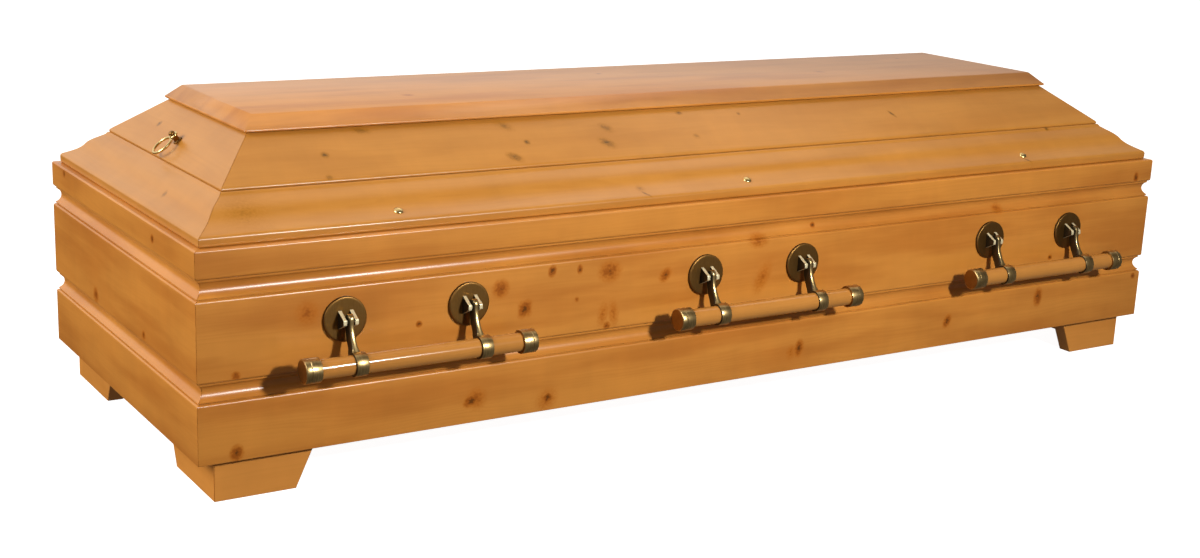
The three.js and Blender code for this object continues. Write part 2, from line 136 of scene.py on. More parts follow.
@dataclass
class Outline:
    """A closed outline drawn point by point, in millimetres.

    Attributes:
        marks: each point as x, y and the length by which its corner is eased.
    """

    marks: list[tuple[float, float, float]] = field(default_factory=list)

    def to(self, x: float, y: float, ease: float = 0.0) -> Outline:
        """Draws a straight stretch to a corner, eased by a length."""
        self.marks.append((x, y, ease))
        return self

    def round_to(self, corner: Point, end: Point) -> Outline:
        """Draws a round stretch that bends at corner and stops at end."""
        start = self.marks[-1][:2]
        for x, y in arc_points(start, corner, end, CURVE_STEPS)[1:]:
            self.to(x, y)
        return self

    def curve_to(self, pull: Point, end_pull: Point, end: Point) -> Outline:
        """Draws a cubic curve from the last point to end."""
        start = self.marks[-1][:2]
        for x, y in cubic_points(start, pull, end_pull, end)[1:]:
            self.to(x, y)
        return self

    def points(self) -> list[Point]:
        """The outline's points, with every eased corner rounded."""
        found: list[Point] = []
        count = len(self.marks)
        for i, (x, y, ease) in enumerate(self.marks):
            if not ease:
                found.append((x, y))
                continue
            before = self.marks[i - 1][:2]
            after = self.marks[(i + 1) % count][:2]
            cuts = []
            for other in (before, after):
                reach = math.dist((x, y), other)
                cuts.append(blended((x, y), other, min(ease / reach, EASE_LIMIT)))
            found.extend(arc_points(cuts[0], (x, y), cuts[1], EASE_STEPS))
        return found


def cubic_points(start: Point, pull: Point, end_pull: Point, end: Point) -> list[Point]:
    """Points of a cubic curve, with both ends."""
    found = []
    for step in range(CURVE_STEPS + 1):
        t = step / CURVE_STEPS
        first = blended(blended(start, pull, t), blended(pull, end_pull, t), t)
        second = blended(blended(pull, end_pull, t), blended(end_pull, end, t), t)
        found.append(blended(first, second, t))
    return found


def shrunk(points: Sequence[Point], distance: float) -> list[Point]:
    """An outline moved inward by a distance, corner by corner.

    Args:
        points: the closed outline, in either direction.
        distance: how far each point moves, in mm.

    Returns:
        As many points, in the same order.
    """
    count = len(points)
    area = sum(
        points[i - 1][0] * points[i][1] - points[i][0] * points[i - 1][1] for i in range(count)
    )
    inward = 1 if area > 0 else -1
    moved = []
    for i, (x, y) in enumerate(points):
        before = Vector(points[i - 1])
        after = Vector(points[(i + 1) % count])
        here = Vector((x, y))
        first = (here - before).normalized()
        second = (after - here).normalized()
        middle = first + second
        if middle.length < 1e-6:
            middle = first
        middle.normalize()
        normal = Vector((-middle.y, middle.x)) * inward
        stretch = 1 / max(0.5, middle.dot(first))
        moved.append((x + normal.x * distance * stretch, y + normal.y * distance * stretch))
    return moved


def stacked_mesh(
    name: str,
    loops: Sequence[Sequence[Vector]],
    wrap: bool = False,
) -> bpy.types.Mesh:
    """Joins loops of equal length into one closed skin.

    Args:
        name: the mesh's name.
        loops: closed loops of points in mm, in order.
        wrap: joins the last loop to the first, where it otherwise caps both.

    Returns:
        The mesh, in metres, with its faces pointing out.
    """
    around = len(loops[0])
    vertices = [point * MM for loop in loops for point in loop]
    faces: list[tuple[int, ...]] = []
    for k in range(len(loops) if wrap else len(loops) - 1):
        low = k * around
        high = (k + 1) % len(loops) * around
        for i in range(around):
            j = (i + 1) % around
            faces.append((low + i, low + j, high + j, high + i))
    if not wrap:
        last = (len(loops) - 1) * around
        faces.append(tuple(range(around)))
        faces.append(tuple(range(last, last + around)))
    mesh = bpy.data.meshes.new(name)
    mesh.from_pydata(vertices, [], faces)
    return finished(mesh)


def finished(mesh: bpy.types.Mesh) -> bpy.types.Mesh:
    """Turns a mesh's faces outward and shades it smooth between its crisp edges."""
    work = bmesh.new()
    work.from_mesh(mesh)
    bmesh.ops.recalc_face_normals(work, faces=work.faces)
    work.to_mesh(mesh)
    work.free()
    mesh.shade_smooth()
    mesh.set_sharp_from_angle(angle=SHARP_ANGLE)
    return mesh


def turned_mesh(name: str, profile: Sequence[Point], sides: int) -> bpy.types.Mesh:
    """A round piece on the Y axis.

    Args:
        name: the mesh's name.
        profile: points as radius and place along Y, which flat ends close.
        sides: how many faces go round it.

    Returns:
        The mesh.
    """
    loops = []
    for radius, along in profile:
        loop = []
        for i in range(sides):
            angle = 2 * math.pi * i / sides
            loop.append(Vector((radius * math.cos(angle), along, radius * math.sin(angle))))
        loops.append(loop)
    return stacked_mesh(name, loops)


def plate_mesh(
    name: str, outline: Sequence[Point], width: float, ease: float, shift: float
) -> bpy.types.Mesh:
    """A flat plate across X, with eased edges.

    Args:
        name: the mesh's name.
        outline: its side view as out and up.
        width: its size along X.
        ease: how far its edges are rounded.
        shift: the place of its middle along X.

    Returns:
        The mesh.
    """
    half = width / 2
    levels = []
    for turn in (0.0, 0.5, 1.0):
        angle = turn * math.pi / 2
        levels.append((ease * (1 - math.sin(angle)), half - ease * (1 - math.cos(angle))))
    rows = [(inset, -x) for inset, x in levels] + [(inset, x) for inset, x in reversed(levels)]
    loops = []
    for inset, x in rows:
        loops.append([Vector((x + shift, out, up)) for out, up in shrunk(outline, inset)])
    return stacked_mesh(name, loops)


def joined_mesh(
    name: str, parts: Sequence[bpy.types.Mesh], cuts: Sequence[bpy.types.Mesh] = ()
) -> bpy.types.Mesh:
    """Melts parts into one skin and takes cuts out of it.

    Args:
        name: the new mesh's name.
        parts: the meshes that stay, each one closed.
        cuts: the meshes that are removed from them.

    Returns:
        One mesh.
    """
    helpers = []
    for mesh in (*parts, *cuts):
        helper = bpy.data.objects.new(mesh.name, mesh)
        bpy.context.scene.collection.objects.link(helper)
        helpers.append(helper)
    base = helpers[0]
    for helper in helpers[1:]:
        step = base.modifiers.new(helper.name, "BOOLEAN")
        step.object = helper
        step.operation = "DIFFERENCE" if helper.data in cuts else "UNION"
        step.solver = "EXACT"
    graph = bpy.context.evaluated_depsgraph_get()
    made = bpy.data.meshes.new_from_object(base.evaluated_get(graph))
    made.name = name
    for helper in helpers:
        bpy.data.objects.remove(helper)
    return finished(made)


def dress(
    mesh: bpy.types.Mesh,
    materials: Sequence[bpy.types.Material],
    choose: Callable[[bpy.types.MeshPolygon], int],
) -> bpy.types.Mesh:
    """Gives each face of a mesh one of several finishes.

    Args:
        mesh: the mesh.
        materials: the finishes.
        choose: tells which of them a face gets.

    Returns:
        The same mesh.
    """
    mesh.materials.clear()
    for material in materials:
        mesh.materials.append(material)
    for face in mesh.polygons:
        face.material_index = choose(face)
    return mesh


def mark_grain(mesh: bpy.types.Mesh, to_board: Matrix) -> bpy.types.Mesh:
    """Writes where each point lies in its board, in mm along it, across it and into it."""
    places = mesh.attributes.new(BOARD_PLACE, "FLOAT_VECTOR", "POINT")
    for vertex, place in zip(mesh.vertices, places.data):
        place.vector = to_board @ (vertex.co / MM)
    return mesh


def add_piece(
    name: str,
    mesh: bpy.types.Mesh,
    materials: Sequence[bpy.types.Material],
    body: str = "root",
    stands_for: Sequence[str] = (),
    at: Matrix | None = None,
) -> bpy.types.Object:
    """Puts a finished piece in the scene and hangs it on its body.

    Args:
        name: the piece's name.
        mesh: its mesh.
        materials: its finishes, the main one first.
        body: the body that it moves with.
        stands_for: the frame's nodes that it replaces.
        at: where it goes, if its mesh isn't in place already.

    Returns:
        The object.
    """
    if not mesh.materials:
        for material in materials:
            mesh.materials.append(material)
    piece = bpy.data.objects.new(name, mesh)
    bpy.context.scene.collection.objects.link(piece)
    if at is not None:
        piece.matrix_world = at
    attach(piece, body)
    if stands_for:
        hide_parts(*stands_for)
    LOG.info("%s rides on %s", name, body)
    return piece


# Finishes


def linear(colour: str) -> tuple[float, float, float, float]:
    """Turns an sRGB hex colour, such as #c48744, to linear RGBA."""
    channels = []
    for i in (1, 3, 5):
        value = int(colour[i:i + 2], 16) / 255
        channels.append(value / 12.92 if value <= 0.04045 else ((value + 0.055) / 1.055) ** 2.4)
    return channels[0], channels[1], channels[2], 1.0


def add_node(
    tree: bpy.types.NodeTree, kind: str, inputs: dict[Any, Any] | None = None, **settings: Any
) -> bpy.types.Node:
    """Adds one node with its settings and links.

    Args:
        tree: the node tree.
        kind: the node's type, without the ShaderNode at its start.
        inputs: a value or another node's output for each input that isn't left alone.
        settings: the node's own properties.

    Returns:
        The node.
    """
    node = tree.nodes.new("ShaderNode" + kind)
    for key, value in settings.items():
        setattr(node, key, value)
    for key, value in (inputs or {}).items():
        if isinstance(value, bpy.types.NodeSocket):
            tree.links.new(value, node.inputs[key])
        else:
            node.inputs[key].default_value = value
    return node


def new_material(name: str) -> tuple[bpy.types.Material, bpy.types.NodeTree]:
    """An empty node material and its tree."""
    material = bpy.data.materials.new(name)
    material.use_nodes = True
    material.node_tree.nodes.clear()
    return material, material.node_tree


def close_material(tree: bpy.types.NodeTree, shader: bpy.types.Node) -> None:
    """Links a shader to the material's output."""
    add_node(tree, "OutputMaterial", {"Surface": shader.outputs["BSDF"]})


@dataclass(frozen=True)
class Knot:
    """A knot in a board's face. Places and sizes are in mm.

    Attributes:
        along: its place along the board.
        across: its place across the board.
        reach: how far its colour fades out from its middle.
        depth: 1 for a dark heart, and less for a soft orange patch.
        stretch: how much longer it is than wide.
        lean: how far its long way is turned from the board's length, in degrees.
    """

    along: float
    across: float
    reach: float = 8.0
    depth: float = 1.0
    stretch: float = 1.0
    lean: float = 0.0


class Figure(Enum):
    """The wood's soft patches: their size in mm along and across the board, and their detail."""

    KNOT_EDGE = (5, 4, 3)
    RING_DRIFT = (520, 60, 3)
    RING_FADE = (300, 26, 2)
    STAIN_DRIFT = (340, 48, 3)
    CLOUD = (110, 70, 2)
    CURL = (23, 90, 2)
    FIBRE = (60, 1.6, 2)


@dataclass(frozen=True)
class StainedSpruce:
    """Spruce boards, planed and sanded, stained honey brown and lacquered satin.

    The stain evens out the grain to soft patches and faint bands across the boards. Knots show as small
    ragged brown hearts in soft orange patches, and the lacquer gives every moulded edge a thin bright line.

    Attributes:
        name: the material's name.
        knots: where the board's knots lie.
        early: colour of the early wood.
        late: colour of the late wood lines.
        deep: colour of the darker drifts.
        halo: colour round a knot.
        core: colour of a knot.
        heart: colour of a knot's heart.
        ring_width: mm between two late wood lines.
        line_strength: how much the late wood lines show.
        pith: mm across and into the board where the tree's middle lay.
        roughness: of the lacquer.
        THROUGH: how far in mm a knot's colour reaches into the board, which is through any board.
        TREE_TAPER: how much less a mm along the board counts for the rings than one across it.
        RING_DRIFT_MM: how far the late wood lines wander.
        SHADE_BASE: brightness where all three shading patches are darkest.
        SHEEN_SPREAD: how much the lacquer's roughness varies, up and down.
    """

    name: str
    knots: tuple[Knot, ...] = ()
    early: str = "#c37f33"
    late: str = "#aa6622"
    deep: str = "#a8621f"
    halo: str = "#ac6014"
    core: str = "#8c4602"
    heart: str = "#5a3000"
    ring_width: float = 5.0
    line_strength: float = 0.2
    pith: Point = (150.0, 80.0)
    roughness: float = 0.3

    THROUGH: ClassVar[float] = 1e4
    TREE_TAPER: ClassVar[float] = 0.012
    RING_DRIFT_MM: ClassVar[float] = 46.0
    SHADE_BASE: ClassVar[float] = 0.81
    SHEEN_SPREAD: ClassVar[float] = 0.04

    def patches(
        self, tree: bpy.types.NodeTree, place: bpy.types.NodeSocket, figure: Figure
    ) -> bpy.types.NodeSocket:
        """Soft patches of one kind, from 0 to 1. The material's name and their size set their shift."""
        along, across, detail = figure.value
        drawn = random.Random(f"{self.name} {along} {across}")
        shift = [drawn.uniform(-40, 40) for _ in range(3)]
        scale = (1 / along, 1 / across, 1 / across)
        sized = add_node(tree, "Mapping", {"Vector": place, "Location": shift, "Scale": scale})
        cloud = add_node(tree, "TexNoise", {"Vector": sized.outputs[0], "Scale": 1.0, "Detail": detail})
        return cloud.outputs["Fac"]

    def knot_field(
        self, tree: bpy.types.NodeTree, place: bpy.types.NodeSocket
    ) -> bpy.types.NodeSocket | None:
        """A ragged field, from 0 where a knot fades out to its depth in its middle. None without knots."""
        total = None
        for knot in self.knots:
            own = add_node(
                tree, "Mapping",
                {
                    "Vector": place,
                    "Location": (knot.along, knot.across, 0),
                    "Rotation": (0, 0, math.radians(knot.lean)),
                    "Scale": (knot.reach * knot.stretch, knot.reach, self.THROUGH),
                },
                vector_type="TEXTURE",
            ).outputs[0]
            away = add_node(tree, "VectorMath", {0: own}, operation="LENGTH").outputs["Value"]
            swell = add_node(
                tree, "Math", {0: away, 1: -knot.depth, 2: knot.depth},
                operation="MULTIPLY_ADD", use_clamp=True,
            ).outputs[0]
            if total is None:
                total = swell
            else:
                total = add_node(tree, "Math", {0: total, 1: swell}, operation="MAXIMUM").outputs[0]
        if total is None:
            return None
        ragged = self.patches(tree, place, Figure.KNOT_EDGE)
        ragged = add_node(tree, "Math", {0: ragged, 1: 1.8, 2: 0.1}, operation="MULTIPLY_ADD").outputs[0]
        return add_node(tree, "Math", {0: total, 1: ragged}, operation="MULTIPLY").outputs[0]

    def ring_lines(
        self, tree: bpy.types.NodeTree, place: bpy.types.NodeSocket, swell: bpy.types.NodeSocket | None
    ) -> bpy.types.NodeSocket:
        """The late wood lines, from 0 to 1. They bend round the knots."""
        across, into = self.pith
        to_pith = (0, -across, -into)
        taper = (self.TREE_TAPER, 1, 1)
        from_pith = add_node(tree, "Mapping", {"Vector": place, "Location": to_pith, "Scale": taper})
        radius = add_node(
            tree, "VectorMath", {0: from_pith.outputs[0]}, operation="LENGTH"
        ).outputs["Value"]
        drift = self.patches(tree, place, Figure.RING_DRIFT)
        radius = add_node(
            tree, "Math", {0: drift, 1: self.RING_DRIFT_MM, 2: radius}, operation="MULTIPLY_ADD"
        ).outputs[0]
        if swell is not None:
            radius = add_node(
                tree, "Math", {0: swell, 1: self.ring_width * 3, 2: radius}, operation="MULTIPLY_ADD"
            ).outputs[0]
        turns = add_node(tree, "Math", {0: radius, 1: self.ring_width}, operation="DIVIDE").outputs[0]
        share = add_node(tree, "Math", {0: turns}, operation="FRACT").outputs[0]
        rise = add_node(
            tree, "MapRange", {"Value": share, "From Min": 0.25, "From Max": 0.85},
            interpolation_type="SMOOTHSTEP",
        ).outputs[0]
        fall = add_node(
            tree, "MapRange",
            {"Value": share, "From Min": 0.88, "From Max": 1.0, "To Min": 1.0, "To Max": 0.0},
        ).outputs[0]
        lines = add_node(tree, "Math", {0: rise, 1: fall}, operation="MULTIPLY").outputs[0]
        fade = add_node(
            tree, "MapRange",
            {
                "Value": self.patches(tree, place, Figure.RING_FADE),
                "From Min": 0.35, "From Max": 0.65, "To Min": 0.25, "To Max": 1.0,
            },
        ).outputs[0]
        return add_node(tree, "Math", {0: lines, 1: fade}, operation="MULTIPLY").outputs[0]

    def mixed(
        self,
        tree: bpy.types.NodeTree,
        below: bpy.types.NodeSocket,
        above: str,
        share: bpy.types.NodeSocket,
        low: float,
        high: float,
        most: float,
    ) -> bpy.types.NodeSocket:
        """Lays a colour over another where share runs from low to high, up to most."""
        amount = add_node(
            tree, "MapRange",
            {"Value": share, "From Min": low, "From Max": high, "To Min": 0.0, "To Max": most},
            interpolation_type="SMOOTHSTEP",
        ).outputs[0]
        mix = add_node(tree, "Mix", {0: amount, 6: below, 7: linear(above)}, data_type="RGBA")
        return mix.outputs[2]

    def build(self) -> bpy.types.Material:
        """Makes the material."""
        material, tree = new_material(self.name)
        place = add_node(tree, "Attribute", attribute_name=BOARD_PLACE).outputs["Vector"]
        swell = self.knot_field(tree, place) if self.knots else None
        lines = self.ring_lines(tree, place, swell)
        amount = add_node(tree, "Math", {0: lines, 1: self.line_strength}, operation="MULTIPLY").outputs[0]
        colour = add_node(
            tree, "Mix", {0: amount, 6: linear(self.early), 7: linear(self.late)}, data_type="RGBA"
        ).outputs[2]
        drift = self.patches(tree, place, Figure.STAIN_DRIFT)
        layers = [(self.deep, drift, 0.38, 0.72, 0.7)]
        if swell is not None:
            layers.append((self.halo, swell, 0.0, 0.35, 0.8))
            layers.append((self.core, swell, 0.25, 0.55, 0.85))
            layers.append((self.heart, swell, 0.62, 0.85, 0.9))
        for above, share, low, high, most in layers:
            colour = self.mixed(tree, colour, above, share, low, high, most)
        fibre = self.patches(tree, place, Figure.FIBRE)
        cloud = self.patches(tree, place, Figure.CLOUD)
        curl = self.patches(tree, place, Figure.CURL)
        shade = self.SHADE_BASE
        for patches, weight in ((cloud, 0.22), (curl, 0.1), (fibre, 0.05)):
            shade = add_node(
                tree, "Math", {0: patches, 1: weight, 2: shade}, operation="MULTIPLY_ADD"
            ).outputs[0]
        toned = add_node(tree, "HueSaturation", {"Color": colour, "Value": shade})
        low_sheen = self.roughness - self.SHEEN_SPREAD
        high_sheen = self.roughness + self.SHEEN_SPREAD
        sheen = add_node(tree, "MapRange", {"Value": fibre, "To Min": low_sheen, "To Max": high_sheen})
        height = add_node(tree, "Math", {0: fibre, 1: 0.6, 2: lines}, operation="MULTIPLY_ADD").outputs[0]
        bump = add_node(tree, "Bump", {"Height": height, "Strength": 0.15, "Distance": 0.03 * MM})
        shader = add_node(
            tree, "BsdfPrincipled",
            {
                "Base Color": toned.outputs[0],
                "Roughness": sheen.outputs[0],
                "IOR": 1.5,
                "Normal": bump.outputs[0],
            },
        )
        close_material(tree, shader)
        return material


@dataclass(frozen=True)
class AntiqueBrass:
    """Cast brass, darkened with patina, brushed and rubbed back.

    The rubbed faces show warm metal with a soft streak, the flat faces keep a dark bronze patina.

    Attributes:
        name: the material's name.
        metal: colour of the bare metal.
        patina: colour of the patina.
        cover: share of the surface under patina, from 0 to 1.
        roughness: of the brushed surface.
        metallic: 1 for bare metal, and less where part of the colour shows as a plain matt colour; the lug
            fronts use that for a painted highlight.
        BLOTCH_SIZE: mm from one stain of the patina to the next.
        STREAK_SIZE: mm between brush marks, along X.
        STREAK_STRETCH: how much less a mm along Y or Z counts for the brush marks.
    """

    name: str
    metal: str
    patina: str
    cover: float
    roughness: float
    metallic: float = 1.0

    BLOTCH_SIZE: ClassVar[float] = 14.0
    STREAK_SIZE: ClassVar[float] = 1.6
    STREAK_STRETCH: ClassVar[float] = 0.08

    def build(self) -> bpy.types.Material:
        """Makes the material."""
        material, tree = new_material(self.name)
        place = add_node(tree, "TexCoord").outputs["Object"]
        blotch = add_node(
            tree, "TexNoise", {"Vector": place, "Scale": 1 / (self.BLOTCH_SIZE * MM), "Detail": 3.0}
        ).outputs["Fac"]
        stretch = (1.0, self.STREAK_STRETCH, self.STREAK_STRETCH)
        brushed = add_node(tree, "Mapping", {"Vector": place, "Scale": stretch}).outputs[0]
        streak = add_node(
            tree, "TexNoise", {"Vector": brushed, "Scale": 1 / (self.STREAK_SIZE * MM), "Detail": 2.0}
        ).outputs["Fac"]
        share = add_node(tree, "Math", {0: streak, 1: 0.7, 2: blotch}, operation="MULTIPLY_ADD").outputs[0]
        cover = add_node(
            tree, "MapRange",
            {"Value": share, "From Min": 0.45, "From Max": 1.25, "To Max": self.cover},
            interpolation_type="SMOOTHSTEP",
        ).outputs[0]
        mix = add_node(
            tree, "Mix", {0: cover, 6: linear(self.metal), 7: linear(self.patina)}, data_type="RGBA"
        )
        smoothest = self.roughness - 0.06
        roughest = self.roughness + 0.08
        rough = add_node(tree, "MapRange", {"Value": share, "To Min": smoothest, "To Max": roughest})
        bump = add_node(tree, "Bump", {"Height": streak, "Strength": 0.2, "Distance": 0.05 * MM})
        shader = add_node(
            tree, "BsdfPrincipled",
            {
                "Base Color": mix.outputs[2],
                "Metallic": self.metallic,
                "Roughness": rough.outputs[0],
                "Normal": bump.outputs[0],
            },
        )
        close_material(tree, shader)
        return material


@dataclass(frozen=True)
class Brasses:
    """The finishes of the fittings: rubbed bright, pale cream with a painted highlight, bronzed, painted
    shade and polished.
    """

    rubbed: bpy.types.Material
    tumbled: bpy.types.Material
    bronzed: bpy.types.Material
    blackened: bpy.types.Material
    polished: bpy.types.Material

    @classmethod
    def build(cls) -> Brasses:
        """Makes the five finishes."""
        return cls(
            # Bands and fronts of the arms give warm olive cream with soft brushed streaks.
            rubbed=AntiqueBrass("rubbed_antique_brass", "#d0b47c", "#866a3e", 0.85, 0.28).build(),
            # Fronts of the lugs get a pale, partly matt cream: a painted highlight that keeps them bright
            # whatever they mirror.
            tumbled=AntiqueBrass("tumbled_antique_brass", "#f0e2b8", "#d8c694", 0.6, 0.4, 0.45).build(),
            # Discs and bar ends give an even dark bronze brown.
            bronzed=AntiqueBrass("bronzed_antique_brass", "#8f6a38", "#785427", 0.7, 0.36).build(),
            # Faces turned sideways get nearly black: painted shade, standing in for the dark surroundings
            # that they mirror.
            blackened=AntiqueBrass("blackened_antique_brass", "#4f4837", "#3b3428", 0.7, 0.38).build(),
            # Screw heads and the ring give small sharp lights.
            polished=AntiqueBrass("polished_antique_brass", "#e8cf90", "#c4a466", 0.6, 0.2).build(),
        )


@dataclass(frozen=True)
class StudioFloor:
    """A plain white floor of matt painted board, slightly luminous.

    It gives the eye an even white, without a shadow that can be made out.
    """

    name: str = "white_matt_floor"
    colour: str = "#bcbbba"
    glow: float = 0.96

    def build(self) -> bpy.types.Material:
        """Makes the material."""
        material, tree = new_material(self.name)
        place = add_node(tree, "TexCoord").outputs["Object"]
        cloud = add_node(tree, "TexNoise", {"Vector": place, "Scale": 0.8, "Detail": 2.0}).outputs["Fac"]
        rough = add_node(tree, "MapRange", {"Value": cloud, "To Min": 0.75, "To Max": 0.85}).outputs[0]
        shader = add_node(
            tree, "BsdfPrincipled",
            {
                "Base Color": linear(self.colour),
                "Roughness": rough,
                "Emission Color": linear("#ffffff"),
                "Emission Strength": self.glow,
            },
        )
        close_material(tree, shader)
        return material


# The coffin


@dataclass(frozen=True)
class Block:
    """The coffin's overall sizes in mm, taken from the frame."""

    length: float
    width: float
    box_bottom: float
    box_top: float

    @classmethod
    def from_frame(cls) -> Block:
        """Reads the sizes from the front panel and the left end panel."""
        low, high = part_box("box_front_panel")
        end_low, end_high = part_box("box_left_panel")
        return cls(
            length=(high.x - low.x) / MM + 2 * MITRE_GAP,
            width=(end_high.y - end_low.y) / MM + 2 * MITRE_GAP,
            box_bottom=low.z / MM,
            box_top=high.z / MM,
        )

    def run(self, side: Side) -> float:
        """How long the coffin is along a side."""
        return self.width if side.is_end else self.length

    def depth(self, side: Side) -> float:
        """How far a side lies from the opposite one."""
        return self.length if side.is_end else self.width


@dataclass(frozen=True)
class MitredBoard:
    """A board along one side, mitred at both ends, with its arrises eased.

    Attributes:
        name: the board's name.
        side: the side that it stands on.
        outline: its section as inset from the box and height.
        spread: how much more the inset counts on the long sides.
        foot: the point of the section that its grain is measured from, as inset and height.
        slope: how far its face leans back from upright, in radians.
        ease: how far the arris along each mitre is taken off.
    """

    name: str
    side: Side
    outline: Sequence[Point]
    spread: float
    foot: Point
    slope: float
    ease: float = 0.4

    def mesh(self, block: Block) -> bpy.types.Mesh:
        """Makes the board in place, with its grain marked."""
        across = 1.0 if self.side.is_end else self.spread
        along = self.spread if self.side.is_end else 1.0
        half_run = block.run(self.side) / 2
        half_depth = block.depth(self.side) / 2
        drawn = shrunk(self.outline, self.ease)
        loops = []
        for end in (-1, 1):
            rows = [(drawn, 0.0), (self.outline, self.ease)]
            for points, back in rows if end < 0 else reversed(rows):
                loop = []
                for inset, height in points:
                    x = end * (half_run - inset * along - MITRE_GAP - back)
                    loop.append(Vector((x, inset * across - half_depth, height)))
                loops.append(loop)
        mesh = stacked_mesh(self.name, loops)
        to_foot = Matrix.Translation((0, half_depth - self.foot[0] * across, -self.foot[1]))
        # After the lean, Y runs into the board and Z up its face. A place is along, across and into it.
        upright = Matrix.Rotation(self.slope, 4, "X")
        order = Matrix(((1, 0, 0, 0), (0, 0, 1, 0), (0, 1, 0, 0), (0, 0, 0, 1)))
        mark_grain(mesh, order @ upright @ to_foot)
        mesh.transform(self.side.turn)
        return mesh


@dataclass(frozen=True)
class Box:
    """The four moulded panels and the floor board of the box.

    Attributes are sizes in mm: the panels' thickness and rounded top, the two grooves' places and their
    section, and the floor board's thickness. The two hollow pulls are shares of the hollow's height, and
    lip_ledge is how far the ledge under the lip stands past the edge's rounding and below the lip's top.
    """

    block: Block
    thickness: float = 32.0
    floor_thickness: float = 18.0
    top_round: float = 3.5
    upper_groove_drop: float = 39.0
    lower_groove_rise: float = 89.0
    groove_height: float = 40.0
    groove_depth: float = 11.0
    edge_round: float = 4.5
    fillet: float = 4.0
    quirk: float = 1.4
    lip: float = 3.0
    lip_height: float = 3.0
    lip_face: float = 1.2
    lip_ledge: Point = (1.0, 1.8)
    hollow_head_pull: float = 0.2
    hollow_foot_pull: float = 0.28
    arris: float = 0.7
    foot_arris: float = 1.5

    def draw_groove(self, outline: Outline, top: float) -> None:
        """Draws one groove down the face: rounded edge, fillet, hollow, lip and rounded edge."""
        bottom = top - self.groove_height
        hollow_top = top - self.edge_round - self.fillet
        lip_top = bottom + self.edge_round + self.lip_height
        hollow_start = self.edge_round + self.quirk
        # The middle of a cubic curve is an eighth of its two ends and three eighths of its two pulls.
        belly = (8 * self.groove_depth - hollow_start - self.lip) / 6
        rise = hollow_top - lip_top
        outline.to(0, top)
        outline.round_to((0, top - self.edge_round), (self.edge_round, top - self.edge_round))
        outline.to(self.edge_round, hollow_top, self.arris)
        outline.to(hollow_start, hollow_top)
        outline.curve_to(
            (belly, hollow_top - rise * self.hollow_head_pull),
            (belly, lip_top + rise * self.hollow_foot_pull),
            (self.lip, lip_top),
        )
        outline.to(self.lip, lip_top - self.lip_face)
        outline.to(self.edge_round + self.lip_ledge[0], lip_top - self.lip_ledge[1])
        outline.to(self.edge_round, bottom + self.edge_round)
        outline.round_to((0, bottom + self.edge_round), (0, bottom))

    def panel_outline(self) -> list[Point]:
        """The section of a panel, as inset and height."""
        block = self.block
        outline = Outline()
        outline.to(self.thickness, block.box_top, self.arris)
        outline.to(self.top_round, block.box_top)
        outline.round_to((0, block.box_top), (0, block.box_top - self.top_round))
        self.draw_groove(outline, block.box_top - self.upper_groove_drop)
        self.draw_groove(outline, block.box_bottom + self.lower_groove_rise + self.groove_height)
        outline.to(0, block.box_bottom, self.foot_arris)
        outline.to(self.thickness, block.box_bottom, self.arris)
        return outline.points()

    def build(self) -> None:
        """Makes the panels and the floor board."""
        outline = self.panel_outline()
        foot = (0.0, self.block.box_bottom)
        for side in Side:
            name = f"panel_{side.label}"
            board = MitredBoard(name, side, outline, 1.0, foot, 0.0)
            wood = StainedSpruce(f"stained_spruce_{name}", PANEL_KNOTS[side]).build()
            node = f"box_{side.label}_panel"
            add_piece(name, board.mesh(self.block), [wood], stands_for=[node])
        self.build_floor()

    def build_floor(self) -> None:
        """Makes the floor board between the panels."""
        inset = self.thickness + GAP
        half_x = self.block.length / 2 - inset
        half_y = self.block.width / 2 - inset
        bottom = self.block.box_bottom
        top = bottom + self.floor_thickness
        levels = [(1.0, bottom), (0.0, bottom + 1.0), (0.0, top - 1.0), (1.0, top)]
        mesh = stacked_mesh("floor_board", [level_loop(half_x - i, half_y - i, z) for i, z in levels])
        mark_grain(mesh, Matrix.Identity(4))
        wood = StainedSpruce("stained_spruce_floor_board", pith=(40.0, -60.0), line_strength=0.7)
        add_piece("floor_board", mesh, [wood.build()], stands_for=["box_floor_board"])


def level_loop(half_x: float, half_y: float, height: float) -> list[Vector]:
    """A level rectangle round the Z axis."""
    return [Vector((x * half_x, y * half_y, height)) for x, y in ((-1, -1), (1, -1), (1, 1), (-1, 1))]


